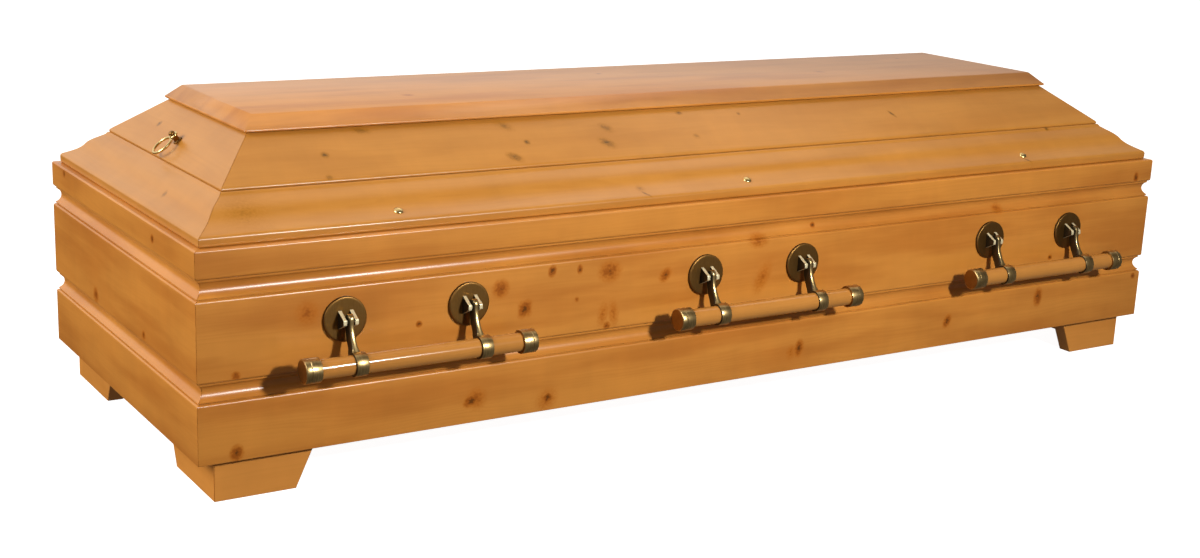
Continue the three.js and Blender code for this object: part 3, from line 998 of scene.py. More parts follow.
@dataclass(frozen=True)
class Feet:
    """Four bracket feet of two mitred boards each. Sizes are in mm."""

    block: Block
    thickness: float = 28.0
    inset_side: float = 18.0
    inset_end: float = 30.0
    length_side: float = 160.0
    length_end: float = 195.0
    slant: float = 30.0
    ease: float = 0.9

    def board_mesh(self, name: str, side: Side, end: int) -> bpy.types.Mesh:
        """Makes one board, mitred at the corner and slanted at its free end.

        Args:
            name: the board's name.
            side: the side that it stands on.
            end: -1 or 1, the end of that side.

        Returns:
            The mesh, in place, with its grain marked.
        """
        length = self.length_end if side.is_end else self.length_side
        across = self.inset_end if side.is_end else self.inset_side
        along = self.inset_side if side.is_end else self.inset_end
        height = self.block.box_bottom - GAP
        corners = [(0.0, 0.0), (length - self.slant, 0.0), (length, height), (0.0, height)]
        full = self.thickness
        loops = []
        for inset, depth in ((self.ease, 0), (0, self.ease), (0, full - self.ease), (self.ease, full)):
            loop = []
            for i, (x, z) in enumerate(shrunk(corners, inset)):
                mitre = depth + MITRE_GAP if i in (0, 3) else 0.0
                place = end * (self.block.run(side) / 2 - along - x - mitre)
                loop.append(Vector((place, across + depth - self.block.depth(side) / 2, z)))
            loops.append(loop)
        mesh = stacked_mesh(name, loops)
        face = self.block.depth(side) / 2
        mark_grain(mesh, Matrix(((1, 0, 0, 0), (0, 0, 1, 0), (0, 1, 0, face), (0, 0, 0, 1))))
        mesh.transform(side.turn)
        return mesh

    def build(self) -> None:
        """Makes the eight boards of the feet."""
        # A lighter copy of the panels' stain: painted light, lifting the feet's faces, which the key light
        # only grazes.
        wood = StainedSpruce(
            "stained_spruce_feet", early="#cc863a", late="#b8742b", deep="#bf7a30", pith=(20.0, 70.0)
        ).build()
        ends = {
            Side.FRONT: ("left", "right"),
            Side.RIGHT: ("front", "back"),
            Side.BACK: ("right", "left"),
            Side.LEFT: ("back", "front"),
        }
        for side, others in ends.items():
            for end, other in zip((-1, 1), others):
                corner = f"{other}_{side.label}" if side.is_end else f"{side.label}_{other}"
                kind = "end" if side.is_end else "side"
                name = f"foot_{corner}_{kind}"
                mesh = self.board_mesh(name, side, end)
                add_piece(name, mesh, [wood], stands_for=[f"{name}_board"])


@dataclass(frozen=True)
class Lid:
    """The hipped lid: moulded lower boards, flat upper boards and a bevelled top board.

    Sizes are in mm. Insets are measured on the two ends and grow by spread on the long sides, and rises are
    measured from the top of the box. The pulls are shares of the run and the rise of the stretch they bend.
    """

    block: Block
    spread: float = 1.22
    nose: Point = (11.0, 11.0)
    nose_lift: float = 2.0
    seat_inset: float = 12.5
    seat_width: float = 31.5
    hollow: Point = (14.0, 16.5)
    ogee: Point = (43.0, 37.0)
    round_end: Point = (70.0, 58.5)
    step: Point = (78.0, 70.0)
    step_height: float = 7.0
    face_top: Point = (159.0, 137.0)
    board_thickness: float = 20.0
    rim_inset: float = 145.0
    rim_height: float = 4.5
    rim_drop: float = 5.5
    rim_lip: float = 8.0
    bevel_width: float = 21.5
    top_thickness: float = 19.0
    screw_place: float = 0.42
    hollow_pull: Point = (0.42, 0.3)
    ogee_pull: Point = (0.2, 0.42)
    round_pull: Point = (0.36, 0.32)
    nosing_pull: Point = (0.75, 0.4)
    seat_lean: float = 1.0
    cove: float = 2.0
    seam_overhang: float = 2.0
    seam_flat: float = 3.0
    nosing: float = 2.5
    lower_arris: float = 0.6
    nosing_arris: float = 0.5
    upper_arris: float = 0.4
    rim_seat: float = 0.5
    rim_round: float = 1.5
    rim_steps: int = 8
    bevel_end: float = 0.95
    flat_start: float = 1.2

    @property
    def pitch(self) -> float:
        """How steeply the upper boards of the ends rise, in radians."""
        return math.atan2(self.face_top[1] - self.step[1], self.face_top[0] - self.step[0])

    @property
    def board_inset(self) -> float:
        """The upper boards' thickness, measured level."""
        return self.board_thickness / math.sin(self.pitch)

    def raised(self, inset: float, rise: float) -> Point:
        """A point of the section, as inset and height."""
        return inset, self.block.box_top + rise

    def hollow_pulls(self) -> tuple[Point, Point]:
        """What bends the hollow between the nose and the middle of the ogee."""
        run = self.ogee[0] - self.hollow[0]
        rise = self.ogee[1] - self.hollow[1]
        start, end = self.hollow_pull, self.ogee_pull
        first = self.raised(self.hollow[0] + run * start[0], self.hollow[1] + rise * start[1])
        second = self.raised(self.ogee[0] - run * end[0], self.ogee[1] - rise * end[1])
        return first, second

    def lower_outline(self) -> list[Point]:
        """The section of a lower board."""
        top = self.block.box_top + self.step[1] - self.step_height - GAP
        bottom = self.block.box_top + GAP
        slant = (self.face_top[0] - self.step[0]) / (self.face_top[1] - self.step[1])
        run = self.round_end[0] - self.ogee[0]
        rise = self.round_end[1] - self.ogee[1]
        nose = self.raised(*self.nose)
        outline = Outline()
        outline.to(self.seat_inset, bottom, self.lower_arris)
        outline.to(self.seat_inset - self.seat_lean, self.block.box_top + self.nose_lift)
        outline.round_to(self.raised(self.nose[0], self.nose_lift), nose)
        outline.round_to(self.raised(self.nose[0], self.hollow[1] - self.cove), self.raised(*self.hollow))
        first, second = self.hollow_pulls()
        outline.curve_to(first, second, self.raised(*self.ogee))
        start, end = self.ogee_pull, self.round_pull
        outline.curve_to(
            self.raised(self.ogee[0] + run * start[0], self.ogee[1] + rise * start[1]),
            self.raised(self.round_end[0] - run * end[0], self.round_end[1] - rise * end[1]),
            self.raised(*self.round_end),
        )
        outline.round_to(
            (self.round_end[0] + self.seam_overhang, top), (self.step[0] - self.seam_flat, top)
        )
        outline.to(self.step[0] + self.board_inset - self.step_height * slant, top, self.lower_arris)
        outline.to(self.seat_inset + self.seat_width, bottom, self.lower_arris)
        return outline.points()

    def upper_outline(self) -> list[Point]:
        """The section of an upper board."""
        slant = (self.face_top[0] - self.step[0]) / (self.face_top[1] - self.step[1])
        seam = self.block.box_top + self.step[1] - self.step_height
        top = self.block.box_top + self.face_top[1] - GAP
        top_inset = self.face_top[0] - GAP * slant
        outline = Outline()
        back, up = self.nosing_pull
        outline.to(self.step[0] - self.nosing, seam, self.nosing_arris)
        outline.round_to(
            (self.step[0] - self.step_height * back, seam + self.step_height * up), self.raised(*self.step)
        )
        outline.to(top_inset, top, self.upper_arris)
        outline.to(top_inset + self.board_inset, top, self.upper_arris)
        inner = self.step[0] + self.board_inset - self.step_height * slant
        outline.to(inner, seam, self.upper_arris)
        return outline.points()

    def top_mesh(self) -> bpy.types.Mesh:
        """The top board: a rim that laps over the boards below it, a bevel and the flat."""
        base = self.block.box_top + self.face_top[1]
        foot = base - self.rim_drop
        half = self.rim_height / 2
        levels = [(self.face_top[0] + self.rim_seat, base), (self.face_top[0] - self.rim_lip, foot)]
        for step in range(self.rim_steps + 1):
            angle = math.pi * step / self.rim_steps
            inset = self.rim_inset + self.rim_round * (1 - math.sin(angle))
            levels.append((inset, foot + half - half * math.cos(angle)))
        start = self.rim_inset + self.rim_round
        last = self.rim_inset + self.bevel_width
        rim_top = foot + self.rim_height
        rise = base + self.top_thickness - rim_top
        levels.append((start + (last - start) * self.bevel_end, rim_top + rise * self.bevel_end))
        levels.append((last + self.flat_start, base + self.top_thickness))
        loops = []
        for inset, height in levels:
            half_x = self.block.length / 2 - inset
            half_y = self.block.width / 2 - inset * self.spread
            loops.append(level_loop(half_x, half_y, height))
        mesh = stacked_mesh("top_board", loops)
        to_board = Matrix.Translation((0, 0, -(base + self.top_thickness)))
        mark_grain(mesh, Matrix.Diagonal((1, 1, -1, 1)) @ to_board)
        return mesh

    def build_boards(self) -> None:
        """Makes the boards of the lid."""
        for side in Side:
            widen = 1.0 if side.is_end else self.spread
            lower_run = (self.round_end[0] - self.hollow[0]) * widen
            upper_run = (self.face_top[0] - self.step[0]) * widen
            kinds = {
                "lower": (self.lower_outline(), self.hollow, lower_run, self.round_end[1] - self.hollow[1]),
                "upper": (self.upper_outline(), self.step, upper_run, self.face_top[1] - self.step[1]),
            }
            for kind, (outline, start, run, rise) in kinds.items():
                name = f"lid_{side.label}_{kind}"
                lean = math.atan2(run, rise)
                board = MitredBoard(name, side, outline, self.spread, self.raised(*start), lean)
                wood = StainedSpruce(
                    f"stained_spruce_{name}", LID_KNOTS[kind, side],
                    early="#b87b32", late="#a36823", deep="#aa6d27",
                    halo="#a86c20", core="#8a5816", heart="#5c3c0c", pith=(40.0, 60.0),
                ).build()
                mesh = board.mesh(self.block)
                add_piece(name, mesh, [wood], stands_for=[f"{name}_board"])
        wood = StainedSpruce("stained_spruce_lid_top", LID_TOP_KNOTS, pith=(30.0, 90.0))
        add_piece("lid_top", self.top_mesh(), [wood.build()], stands_for=["lid_top_board"])


@dataclass(frozen=True)
class LidScrews:
    """Six round-headed brass screws in the hollow of the lid's long sides. Sizes are in mm."""

    lid: Lid
    head_radius: float = 7.5
    head_height: float = 4.0
    shank_radius: float = 3.0
    shank_length: float = 15.0
    recess: float = 1.0
    rim: float = 0.4
    dome_steps: int = 8
    dome_reach: float = 8.2
    sides: int = 32

    def mesh(self) -> bpy.types.Mesh:
        """Makes a screw on the Y axis, with its head at +Y."""
        under = GAP - self.recess
        profile = [(self.shank_radius, under - self.shank_length), (self.shank_radius, under)]
        profile += [(self.head_radius - self.rim, under), (self.head_radius, under + self.rim)]
        rise = self.head_height - 2 * self.rim
        for step in range(1, self.dome_steps + 1):
            angle = math.pi / 2 * step / self.dome_reach
            height = under + 2 * self.rim + rise * math.sin(angle)
            profile.append((self.head_radius * math.cos(angle), height))
        return turned_mesh("lid_screw", profile, self.sides)

    def build(self, brass: bpy.types.Material) -> None:
        """Makes the six screws.

        Args:
            brass: the heads' finish.
        """
        lid = self.lid
        first, second = lid.hollow_pulls()
        curve = [lid.raised(*lid.hollow), first, second, lid.raised(*lid.ogee)]
        t = lid.screw_place
        lines = [blended(curve[i], curve[i + 1], t) for i in range(3)]
        ends = [blended(lines[0], lines[1], t), blended(lines[1], lines[2], t)]
        inset, height = blended(ends[0], ends[1], t)
        lean = math.atan2(ends[1][1] - ends[0][1], (ends[1][0] - ends[0][0]) * lid.spread)
        mesh = self.mesh()
        for side in (Side.FRONT, Side.BACK):
            for place in PLACES:
                node = f"lid_screw_{side.label}_{place}"
                low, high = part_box(node)
                along = (low.x + high.x) / 2 / MM * (1 if side is Side.FRONT else -1)
                out = inset * lid.spread - lid.block.width / 2
                at = side.turn @ Matrix.Translation(Vector((along, out, height)) * MM)
                at = at @ Matrix.Rotation(math.pi / 2 + lean, 4, "X")
                name = f"screw_{side.label}_{place}"
                add_piece(name, mesh, [brass], stands_for=[node], at=at)


@dataclass(frozen=True)
class Handles:
    """Six swing-bar handles: two roses with lugs, two arms and a capped wooden bar each.

    Sizes are in mm, in a frame with X along the side, Y out of the panel's face and Z up. The rounds are
    points of a profile, as how far in from the edge and how far back from the face they lie.
    """

    block: Block
    rose_radius: float = 35.0
    rose_thickness: float = 5.0
    lug_thickness: float = 6.0
    lug_gap: float = 13.0
    lug_height: float = 31.0
    lug_tip: Point = (25.5, 4.5)
    lug_tip_foot: float = -4.0
    lug_tip_round: float = 2.5
    pin_radius: float = 3.0
    pin_reach: float = 20.0
    pin_clearance: float = 0.45
    arm_width: float = 9.0
    head_radius: float = 8.5
    head_lift: float = 3.5
    bar_reach: float = 52.0
    bar_drop: float = 57.0
    bar_radius: float = 15.0
    cap_radius: float = 19.0
    cap_length: float = 26.0
    collar_radius: float = 18.5
    collar_width: float = 20.0
    flare_start: float = 23.0
    flare_end: float = 12.0
    front_pulls: tuple[Point, Point] = ((27.5, -12.0), (34.5, -26.0))
    front_end: Point = (46.0, -40.5)
    back_pulls: tuple[Point, Point] = ((9.5, -16.0), (17.0, -39.0))
    heel: Point = (26.0, -44.0)
    rose_ease: float = 0.4
    rose_round: tuple[Point, ...] = ((0.0, 1.4), (0.3, 0.7), (0.9, 0.2), (1.6, 0.0), (4.0, 0.0))
    rose_hub: float = 12.0
    lug_ease: float = 0.7
    strap_play: float = 0.6
    head_steps: int = 9
    section_steps: int = 24
    cap_hub: float = 3.0
    cap_round: tuple[Point, ...] = ((4.0, 0.0), (1.6, 0.3), (0.4, 1.1), (0.0, 2.2))
    cap_mouth: tuple[Point, ...] = ((0.0, 0.9), (0.3, 0.2), (0.9, 0.0))
    cap_line: float = 0.36
    cap_line_reach: float = 0.7
    cap_line_depth: float = 0.6
    cap_seat: float = 0.45
    dowel_seat: float = 0.4
    sides: int = 64

    def along_x(self, mesh: bpy.types.Mesh, out: float, up: float) -> bpy.types.Mesh:
        """Lays a piece turned on Y along X, at a place out and up."""
        place = Matrix.Translation(Vector((0, out, up)) * MM)
        mesh.transform(place @ Matrix.Rotation(-math.pi / 2, 4, "Z"))
        return mesh

    def rose_mesh(self) -> bpy.types.Mesh:
        """A disc with two lugs and the pin between them."""
        front = GAP + self.rose_thickness
        edge = self.rose_radius
        profile = [(edge - self.rose_ease, GAP), (edge, GAP + self.rose_ease)]
        profile += [(edge - inset, front - drop) for inset, drop in self.rose_round]
        profile.append((self.rose_hub, front))
        disc = turned_mesh("rose_disc", profile, self.sides)
        base = GAP + self.rose_thickness / 2
        top = self.lug_height / 2
        reach, tip_top = self.lug_tip
        outline = Outline().to(base, top).to(reach - self.lug_tip_round, tip_top)
        outline.round_to((reach, tip_top), (reach, tip_top - self.lug_tip_round))
        outline.to(reach, self.lug_tip_foot, 1.5).to(base, -top)
        offset = (self.lug_gap + self.lug_thickness) / 2
        lugs = [
            plate_mesh("rose_lug", outline.points(), self.lug_thickness, self.lug_ease, offset * side)
            for side in (-1, 1)
        ]
        pin = turned_mesh("rose_pin", [(self.pin_radius, -offset), (self.pin_radius, offset)], 24)
        return joined_mesh("rose", [disc, *lugs, self.along_x(pin, self.pin_reach, 0)])

    def arm_edges(self) -> list[tuple[Point, Point]]:
        """The front and the back edge of an arm's side view, in pairs, from the top of its head down."""
        pairs = []
        for step in range(1, self.head_steps):
            angle = math.pi / 2 * (1 - step / self.head_steps)
            out = self.head_radius * math.cos(angle)
            up = self.head_lift + self.head_radius * math.sin(angle)
            pairs.append(((self.pin_reach + out, up), (self.pin_reach - out, up)))
        near = (self.pin_reach + self.head_radius, self.head_lift)
        far = (self.pin_reach - self.head_radius, self.head_lift)
        front = cubic_points(near, *self.front_pulls, self.front_end)
        back = cubic_points(far, *self.back_pulls, self.heel)
        pairs += zip(front, back)
        inside = (self.bar_reach - self.bar_radius, -self.bar_drop)
        pairs.append((blended(self.front_end, (self.bar_reach, -self.bar_drop), 0.5), inside))
        return pairs

    def arm_mesh(self) -> bpy.types.Mesh:
        """A strap with a round head over the pin, flared downward to the collar round the bar."""
        flare_top = self.flare_start - self.bar_drop
        loops = []
        for near, far in self.arm_edges():
            below = (flare_top - (near[1] + far[1]) / 2) / (self.flare_start - self.flare_end)
            flare = min(max(below, 0.0), 1.0) ** 2
            half = (self.arm_width + (self.collar_width - self.strap_play - self.arm_width) * flare) / 2
            loops.append(self.arm_section(near, far, half))
        strap = stacked_mesh("arm_strap", loops)
        rims = self.eased_roller(self.collar_radius, self.collar_width, 1.0)
        collar = turned_mesh("arm_collar", rims, self.sides)
        self.along_x(collar, self.bar_reach, -self.bar_drop)
        hole_radius = self.pin_radius + self.pin_clearance
        hole = turned_mesh("arm_hole", self.roller(hole_radius, self.collar_width), 32)
        bore_outline = self.roller(self.bar_radius + GAP, self.collar_width * 2)
        bore = turned_mesh("arm_bore", bore_outline, self.sides)
        cuts = [self.along_x(hole, self.pin_reach, 0), self.along_x(bore, self.bar_reach, -self.bar_drop)]
        return joined_mesh("arm", [strap, collar], cuts)

    def arm_section(self, near: Point, far: Point, half: float) -> list[Vector]:
        """A rounded section of the arm, between its front and back edges.

        Args:
            near: the front edge, as out and up.
            far: the back edge.
            half: half its width along X.

        Returns:
            The section's points.
        """
        middle = blended(near, far, 0.5)
        loop = []
        for step in range(self.section_steps):
            angle = 2 * math.pi * step / self.section_steps
            side = math.copysign(abs(math.sin(angle)) ** 0.5, math.sin(angle))
            depth = math.copysign(abs(math.cos(angle)) ** 0.5, math.cos(angle))
            out, up = blended(middle, near, depth)
            loop.append(Vector((side * half, out, up)))
        return loop

    def roller(self, radius: float, width: float) -> list[Point]:
        """The profile of a plain roller, centred on its length."""
        return [(radius, -width / 2), (radius, width / 2)]

    def eased_roller(self, radius: float, width: float, ease: float) -> list[Point]:
        """The profile of a roller with rounded rims."""
        half = width / 2
        rim = [(radius - ease, half), (radius - ease * 0.3, half - ease * 0.3), (radius, half - ease)]
        return [(r, -a) for r, a in rim] + list(reversed(rim))

    def bar_mesh(self, length: float) -> bpy.types.Mesh:
        """The turned wooden bar between its caps."""
        half = length / 2 - self.cap_length * self.dowel_seat
        mesh = turned_mesh("bar_dowel", self.roller(self.bar_radius, 2 * half), self.sides)
        self.along_x(mesh, self.bar_reach, -self.bar_drop)
        rows = ((1, 0, 0, 0), (0, 0, 1, self.bar_drop), (0, 1, 0, -self.bar_reach), (0, 0, 0, 1))
        return mark_grain(mesh, Matrix(rows))

    def cap_mesh(self, length: float, end: int) -> bpy.types.Mesh:
        """A brass cap on one end of the bar, with a fine ring line.

        Args:
            length: the whole bar's length.
            end: -1 or 1, the end of the bar.

        Returns:
            The mesh.
        """
        radius, deep = self.cap_radius, self.cap_length
        inner = self.bar_radius + GAP
        line = deep * self.cap_line
        reach = self.cap_line_reach
        profile = [(self.cap_hub, 0.0)]
        profile += [(radius - inset, back) for inset, back in self.cap_round]
        profile += [(radius, line - reach), (radius - self.cap_line_depth, line), (radius, line + reach)]
        profile += [(radius - inset, deep - back) for inset, back in self.cap_mouth]
        profile += [(inner, deep), (inner, deep * self.cap_seat), (self.cap_hub, deep * self.cap_seat)]
        placed = [(r, end * (length / 2 - a)) for r, a in profile]
        mesh = turned_mesh("bar_cap", placed, self.sides)
        return self.along_x(mesh, self.bar_reach, -self.bar_drop)

    def build(self, brass: Brasses) -> None:
        """Makes the six handles.

        Args:
            brass: their finishes.
        """
        low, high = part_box("handle_front_middle_bar")
        length = (high.x - low.x) / MM
        rose, arm, bar = self.rose_mesh(), self.arm_mesh(), self.bar_mesh(length)
        caps = {"left": self.cap_mesh(length, -1), "right": self.cap_mesh(length, 1)}
        wood = StainedSpruce(
            "stained_turned_bar", early="#b37836", late="#a3692b", deep="#a86d2e",
            ring_width=4.0, pith=(6.0, 9.0), roughness=0.13,
        ).build()
        self.dress_rose(rose, brass)
        # The arm's sideways faces get painted shade, nearly black; the rest is rubbed brass.
        dress(arm, (brass.rubbed, brass.blackened), lambda face: int(abs(face.normal.x) > SIDEWAYS))
        for cap in caps.values():
            dress(cap, (brass.rubbed, brass.bronzed), lambda face: int(abs(face.normal.x) > 0.9))
        for side, facing in (("front", -1), ("back", 1)):
            for place in PLACES:
                body = f"handle_{side}_{place}"
                bar_low, bar_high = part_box(f"{body}_bar")
                middle = (bar_low.x + bar_high.x) / 2
                rose_low, rose_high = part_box(f"{body}_rosette_left")
                hub = Vector((middle, facing * self.block.width / 2 * MM, (rose_low.z + rose_high.z) / 2))
                turn = Matrix.Rotation(math.pi if facing < 0 else 0.0, 4, "Z")
                at_hub = Matrix.Translation(hub) @ turn
                for arm_place in ("left", "right"):
                    arm_low, arm_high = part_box(f"{body}_arm_{arm_place}")
                    spot = Vector(((arm_low.x + arm_high.x) / 2, hub.y, hub.z))
                    at = Matrix.Translation(spot) @ turn
                    add_piece(
                        f"{body}_rose_{arm_place}", rose, [],
                        stands_for=[f"{body}_rosette_{arm_place}"], at=at,
                    )
                    add_piece(
                        f"{body}_strap_{arm_place}", arm, [], body,
                        [f"{body}_arm_{arm_place}"], at,
                    )
                    cap_end = arm_place if facing > 0 else {"left": "right", "right": "left"}[arm_place]
                    add_piece(
                        f"{body}_cap_{arm_place}", caps[cap_end], [], body, at=at_hub
                    )
                add_piece(f"{body}_dowel", bar, [wood], body, [f"{body}_bar"], at_hub)

    def dress_rose(self, mesh: bpy.types.Mesh, brass: Brasses) -> None:
        """Bronzes the disc and its face bevel, gives the fronts of the lugs a painted highlight and paints
        shade, nearly black, on what faces sideways and on the disc's edge.
        """
        front = (GAP + self.rose_thickness) * MM
        rim = (self.rose_radius - 1.5) * MM

        def finish(face: bpy.types.MeshPolygon) -> int:
            """The place of a face's finish in the mesh's list."""
            # Faces in front of the disc: painted shade on the sideways ones, painted highlight on the rest.
            if face.center.y > front + 0.1 * MM:
                return 2 if abs(face.normal.x) > SIDEWAYS else 1
            # The disc's edge, unless it faces out, gets painted shade.
            if math.hypot(face.center.x, face.center.z) > rim:
                return 0 if face.normal.y > 0.3 else 2
            return 0

        dress(mesh, (brass.bronzed, brass.tumbled, brass.blackened), finish)


@dataclass(frozen=True)
class LidRing:
    """A brass ring that swivels on a short post, on the left end of the lid. Sizes are in mm."""

    ring_radius: float = 17.5
    ring_wire: float = 2.3
    eyelet_radius: float = 6.2
    eyelet_wire: float = 2.0
    flange_radius: float = 8.0
    flange_thickness: float = 2.0
    post_radius: float = 5.0
    neck_radius: float = 3.4
    neck_start: float = 9.2
    neck_length: float = 5.6
    head_length: float = 5.0
    flange_ease: float = 0.6
    post_ease: float = 0.4
    turn_steps: int = 56
    wire_steps: int = 20

    def torus(self, name: str, radius: float, wire: float, shift: float) -> bpy.types.Mesh:
        """A wire ring round the Y axis, moved along Z."""
        loops = []
        for i in range(self.turn_steps):
            turn = 2 * math.pi * i / self.turn_steps
            loop = []
            for j in range(self.wire_steps):
                roll = 2 * math.pi * j / self.wire_steps
                reach = radius + wire * math.cos(roll)
                up = reach * math.sin(turn) + shift
                loop.append(Vector((reach * math.cos(turn), wire * math.sin(roll), up)))
            loops.append(loop)
        return stacked_mesh(name, loops, wrap=True)

    def build(self, joint: dict[str, Any], metal: bpy.types.Material, patina: bpy.types.Material) -> None:
        """Makes the post and the ring.

        Args:
            joint: the ring's joint in the frame, which gives its place and axis.
            metal: the ring's finish.
            patina: the post's finish.
        """
        axis = Vector(joint["axis"]).normalized()
        level = Vector((0, -1, 0))
        down = level.cross(axis)
        turn = Matrix((level, axis, down)).transposed().to_4x4()
        at = Matrix.Translation(Vector(joint["pos_m"])) @ turn
        neck_end = self.neck_start + self.neck_length
        flange, post = self.flange_radius, self.post_radius
        thick, wide, fine = self.flange_thickness, self.flange_ease, self.post_ease
        profile = [
            (flange, GAP), (flange, thick - wide), (flange - wide, thick), (post + wide, thick + fine),
            (post, thick + 1), (post, self.neck_start - fine), (post - fine, self.neck_start),
            (self.neck_radius, self.neck_start), (self.neck_radius, neck_end),
            (post - fine, neck_end), (post, neck_end + fine),
        ]
        for step in range(7):
            angle = math.pi / 2 * step / 7
            out = neck_end + 1 + (self.head_length - 1) * math.sin(angle)
            profile.append((post * (0.3 + 0.7 * math.cos(angle)), out))
        post_mesh = turned_mesh("ring_post", profile, 32)
        add_piece("ring_post", post_mesh, [patina], stands_for=["lid_ring_post"], at=at)
        hang = self.eyelet_radius + self.ring_radius
        hoop = self.torus("hoop", self.ring_radius, self.ring_wire, hang)
        eyelet = self.torus("eyelet", self.eyelet_radius, self.eyelet_wire, 0.0)
        ring = joined_mesh("ring_hoop", [hoop, eyelet])
        ring.transform(Matrix.Translation((0, (self.neck_start + self.neck_length / 2) * MM, 0)))
        add_piece("ring_hoop", ring, [metal], "lid_ring", ["lid_ring"], at)


# Where the boards' knots lie. Across is measured up the face from the board's lower edge.

PANEL_KNOTS = {
    Side.FRONT: (
        Knot(-829, 214, 26, 0.5), Knot(-502, 216, 20, 0.72), Knot(-457, 178, 13, 0.95, 1.6, 55),
        Knot(-457, 178, 12, 0.8, 1.6, -50), Knot(-645, 175, 7), Knot(-408, 235, 10, 0.95, 1.3, 70),
        Knot(-551, 37, 12, 1.0, 1.5, 25), Knot(-541, 40, 24, 0.5), Knot(-409, 22, 11, 1.0, 1.0),
        Knot(-411, 19, 24, 0.42, 1.2, 40), Knot(-941, 13, 14, 0.85, 1.2, 80), Knot(-941, 132, 9, 0.9),
        Knot(-187, 206, 13, 0.8, 1.4, 45), Knot(7, 247, 18, 0.5, 1.6), Knot(20, 181, 20, 0.45, 2.0, 62),
        Knot(113, 40, 13, 0.85, 1.6, 82), Knot(95, 34, 14, 0.4, 1.4, 80), Knot(132, 262, 7),
        Knot(579, 256, 14, 0.5, 1.4),
        Knot(710, 69, 15, 0.85, 1.6, 88), Knot(471, 48, 12, 0.9, 1.5, 60), Knot(732, 147, 7),
        Knot(981, 84, 8),
        Knot(955, 291, 9, 0.9, 1.5, 90), Knot(-356, 233, 7, 0.9, 1.5, 90), Knot(-298, 224, 24, 0.68, 1.2),
        Knot(-360, 183, 6, 0.7), Knot(-300, 131, 10, 0.75), Knot(-308, 152, 14, 0.42, 2.2, 82),
        Knot(-288, 152, 14, 0.42, 2.2, 98),
    ),
    Side.LEFT: (Knot(176, 302, 9), Knot(-286, 315, 9), Knot(-122, 141, 18, 0.7), Knot(124, 137, 10, 0.8)),
    Side.RIGHT: (Knot(-150, 200, 18, 0.7), Knot(90, 60, 12), Knot(210, 250, 9)),
    Side.BACK: (
        Knot(-760, 60, 20, 0.7), Knot(-520, 210, 11), Knot(-210, 240, 14, 0.8),
        Knot(40, 70, 18, 0.6, 1.5, 60),
        Knot(330, 190, 12), Knot(560, 30, 20, 0.7), Knot(840, 225, 10),
    ),
}
LID_KNOTS = {
    ("lower", Side.FRONT): (
        Knot(-221, 20, 12, 0.5), Knot(-218, 6, 4, 0.9, 4.0, -52), Knot(663, 4, 4, 0.9, 4.0, -52),
        Knot(-905, 40, 60, 0.34, 1.3, 80), Knot(779, 84, 8),
    ),
    ("lower", Side.LEFT): (Knot(120, 30, 9, 0.8),),
    ("lower", Side.RIGHT): (Knot(-80, 34, 12, 0.7),),
    ("lower", Side.BACK): (Knot(-420, 30, 12), Knot(310, 44, 16, 0.7)),
    ("upper", Side.FRONT): (
        Knot(-742, 49, 10, 0.95), Knot(-664, 97, 12, 0.6, 2.0, -8), Knot(-219, 68, 13, 0.65, 1.6, -38),
        Knot(-234, 33, 15, 0.8, 1.6, -38), Knot(-49, 34, 10, 0.5), Knot(-55, 93, 7, 0.8, 1.5),
        Knot(70, 82, 6, 0.7),
        Knot(-421, 15, 13, 0.85, 1.6, -38), Knot(-384, 47, 8), Knot(-409, 88, 14, 0.55, 1.8, -35),
        Knot(-752, 1, 8, 0.8), Knot(417, 55, 5, 0.9, 3.0, -60),
    ),
    ("upper", Side.LEFT): (Knot(-118, 45, 9),),
    ("upper", Side.RIGHT): (Knot(60, 60, 14, 0.7),),
    ("upper", Side.BACK): (Knot(-600, 50, 16, 0.7), Knot(-90, 80, 10), Knot(450, 40, 12, 0.8)),
}
LID_TOP_KNOTS = (
    Knot(-520, -60, 16, 0.5), Knot(-60, 70, 9, 0.8), Knot(390, -30, 18, 0.5), Knot(700, 90, 8, 0.8),
)


@dataclass(frozen=True)
class SoftBox:
    """A soft box: its place and aim in metres, its width and height in metres and its power in watts."""

    name: str
    place: tuple[float, float, float]
    aim: tuple[float, float, float]
    size: Point
    power: float
    colour: str = "#ffffff"

    def build(self) -> None:
        """Adds the light to the scene."""
        data = bpy.data.lights.new(self.name, "AREA")
        data.shape = "RECTANGLE"
        data.size, data.size_y = self.size
        data.energy = self.power
        data.color = linear(self.colour)[:3]
        lamp = bpy.data.objects.new(self.name, data)
        bpy.context.scene.collection.objects.link(lamp)
        away = Vector(self.place) - Vector(self.aim)
        turn = away.to_track_quat("Z", "Y").to_matrix().to_4x4()
        lamp.matrix_world = Matrix.Translation(self.place) @ turn


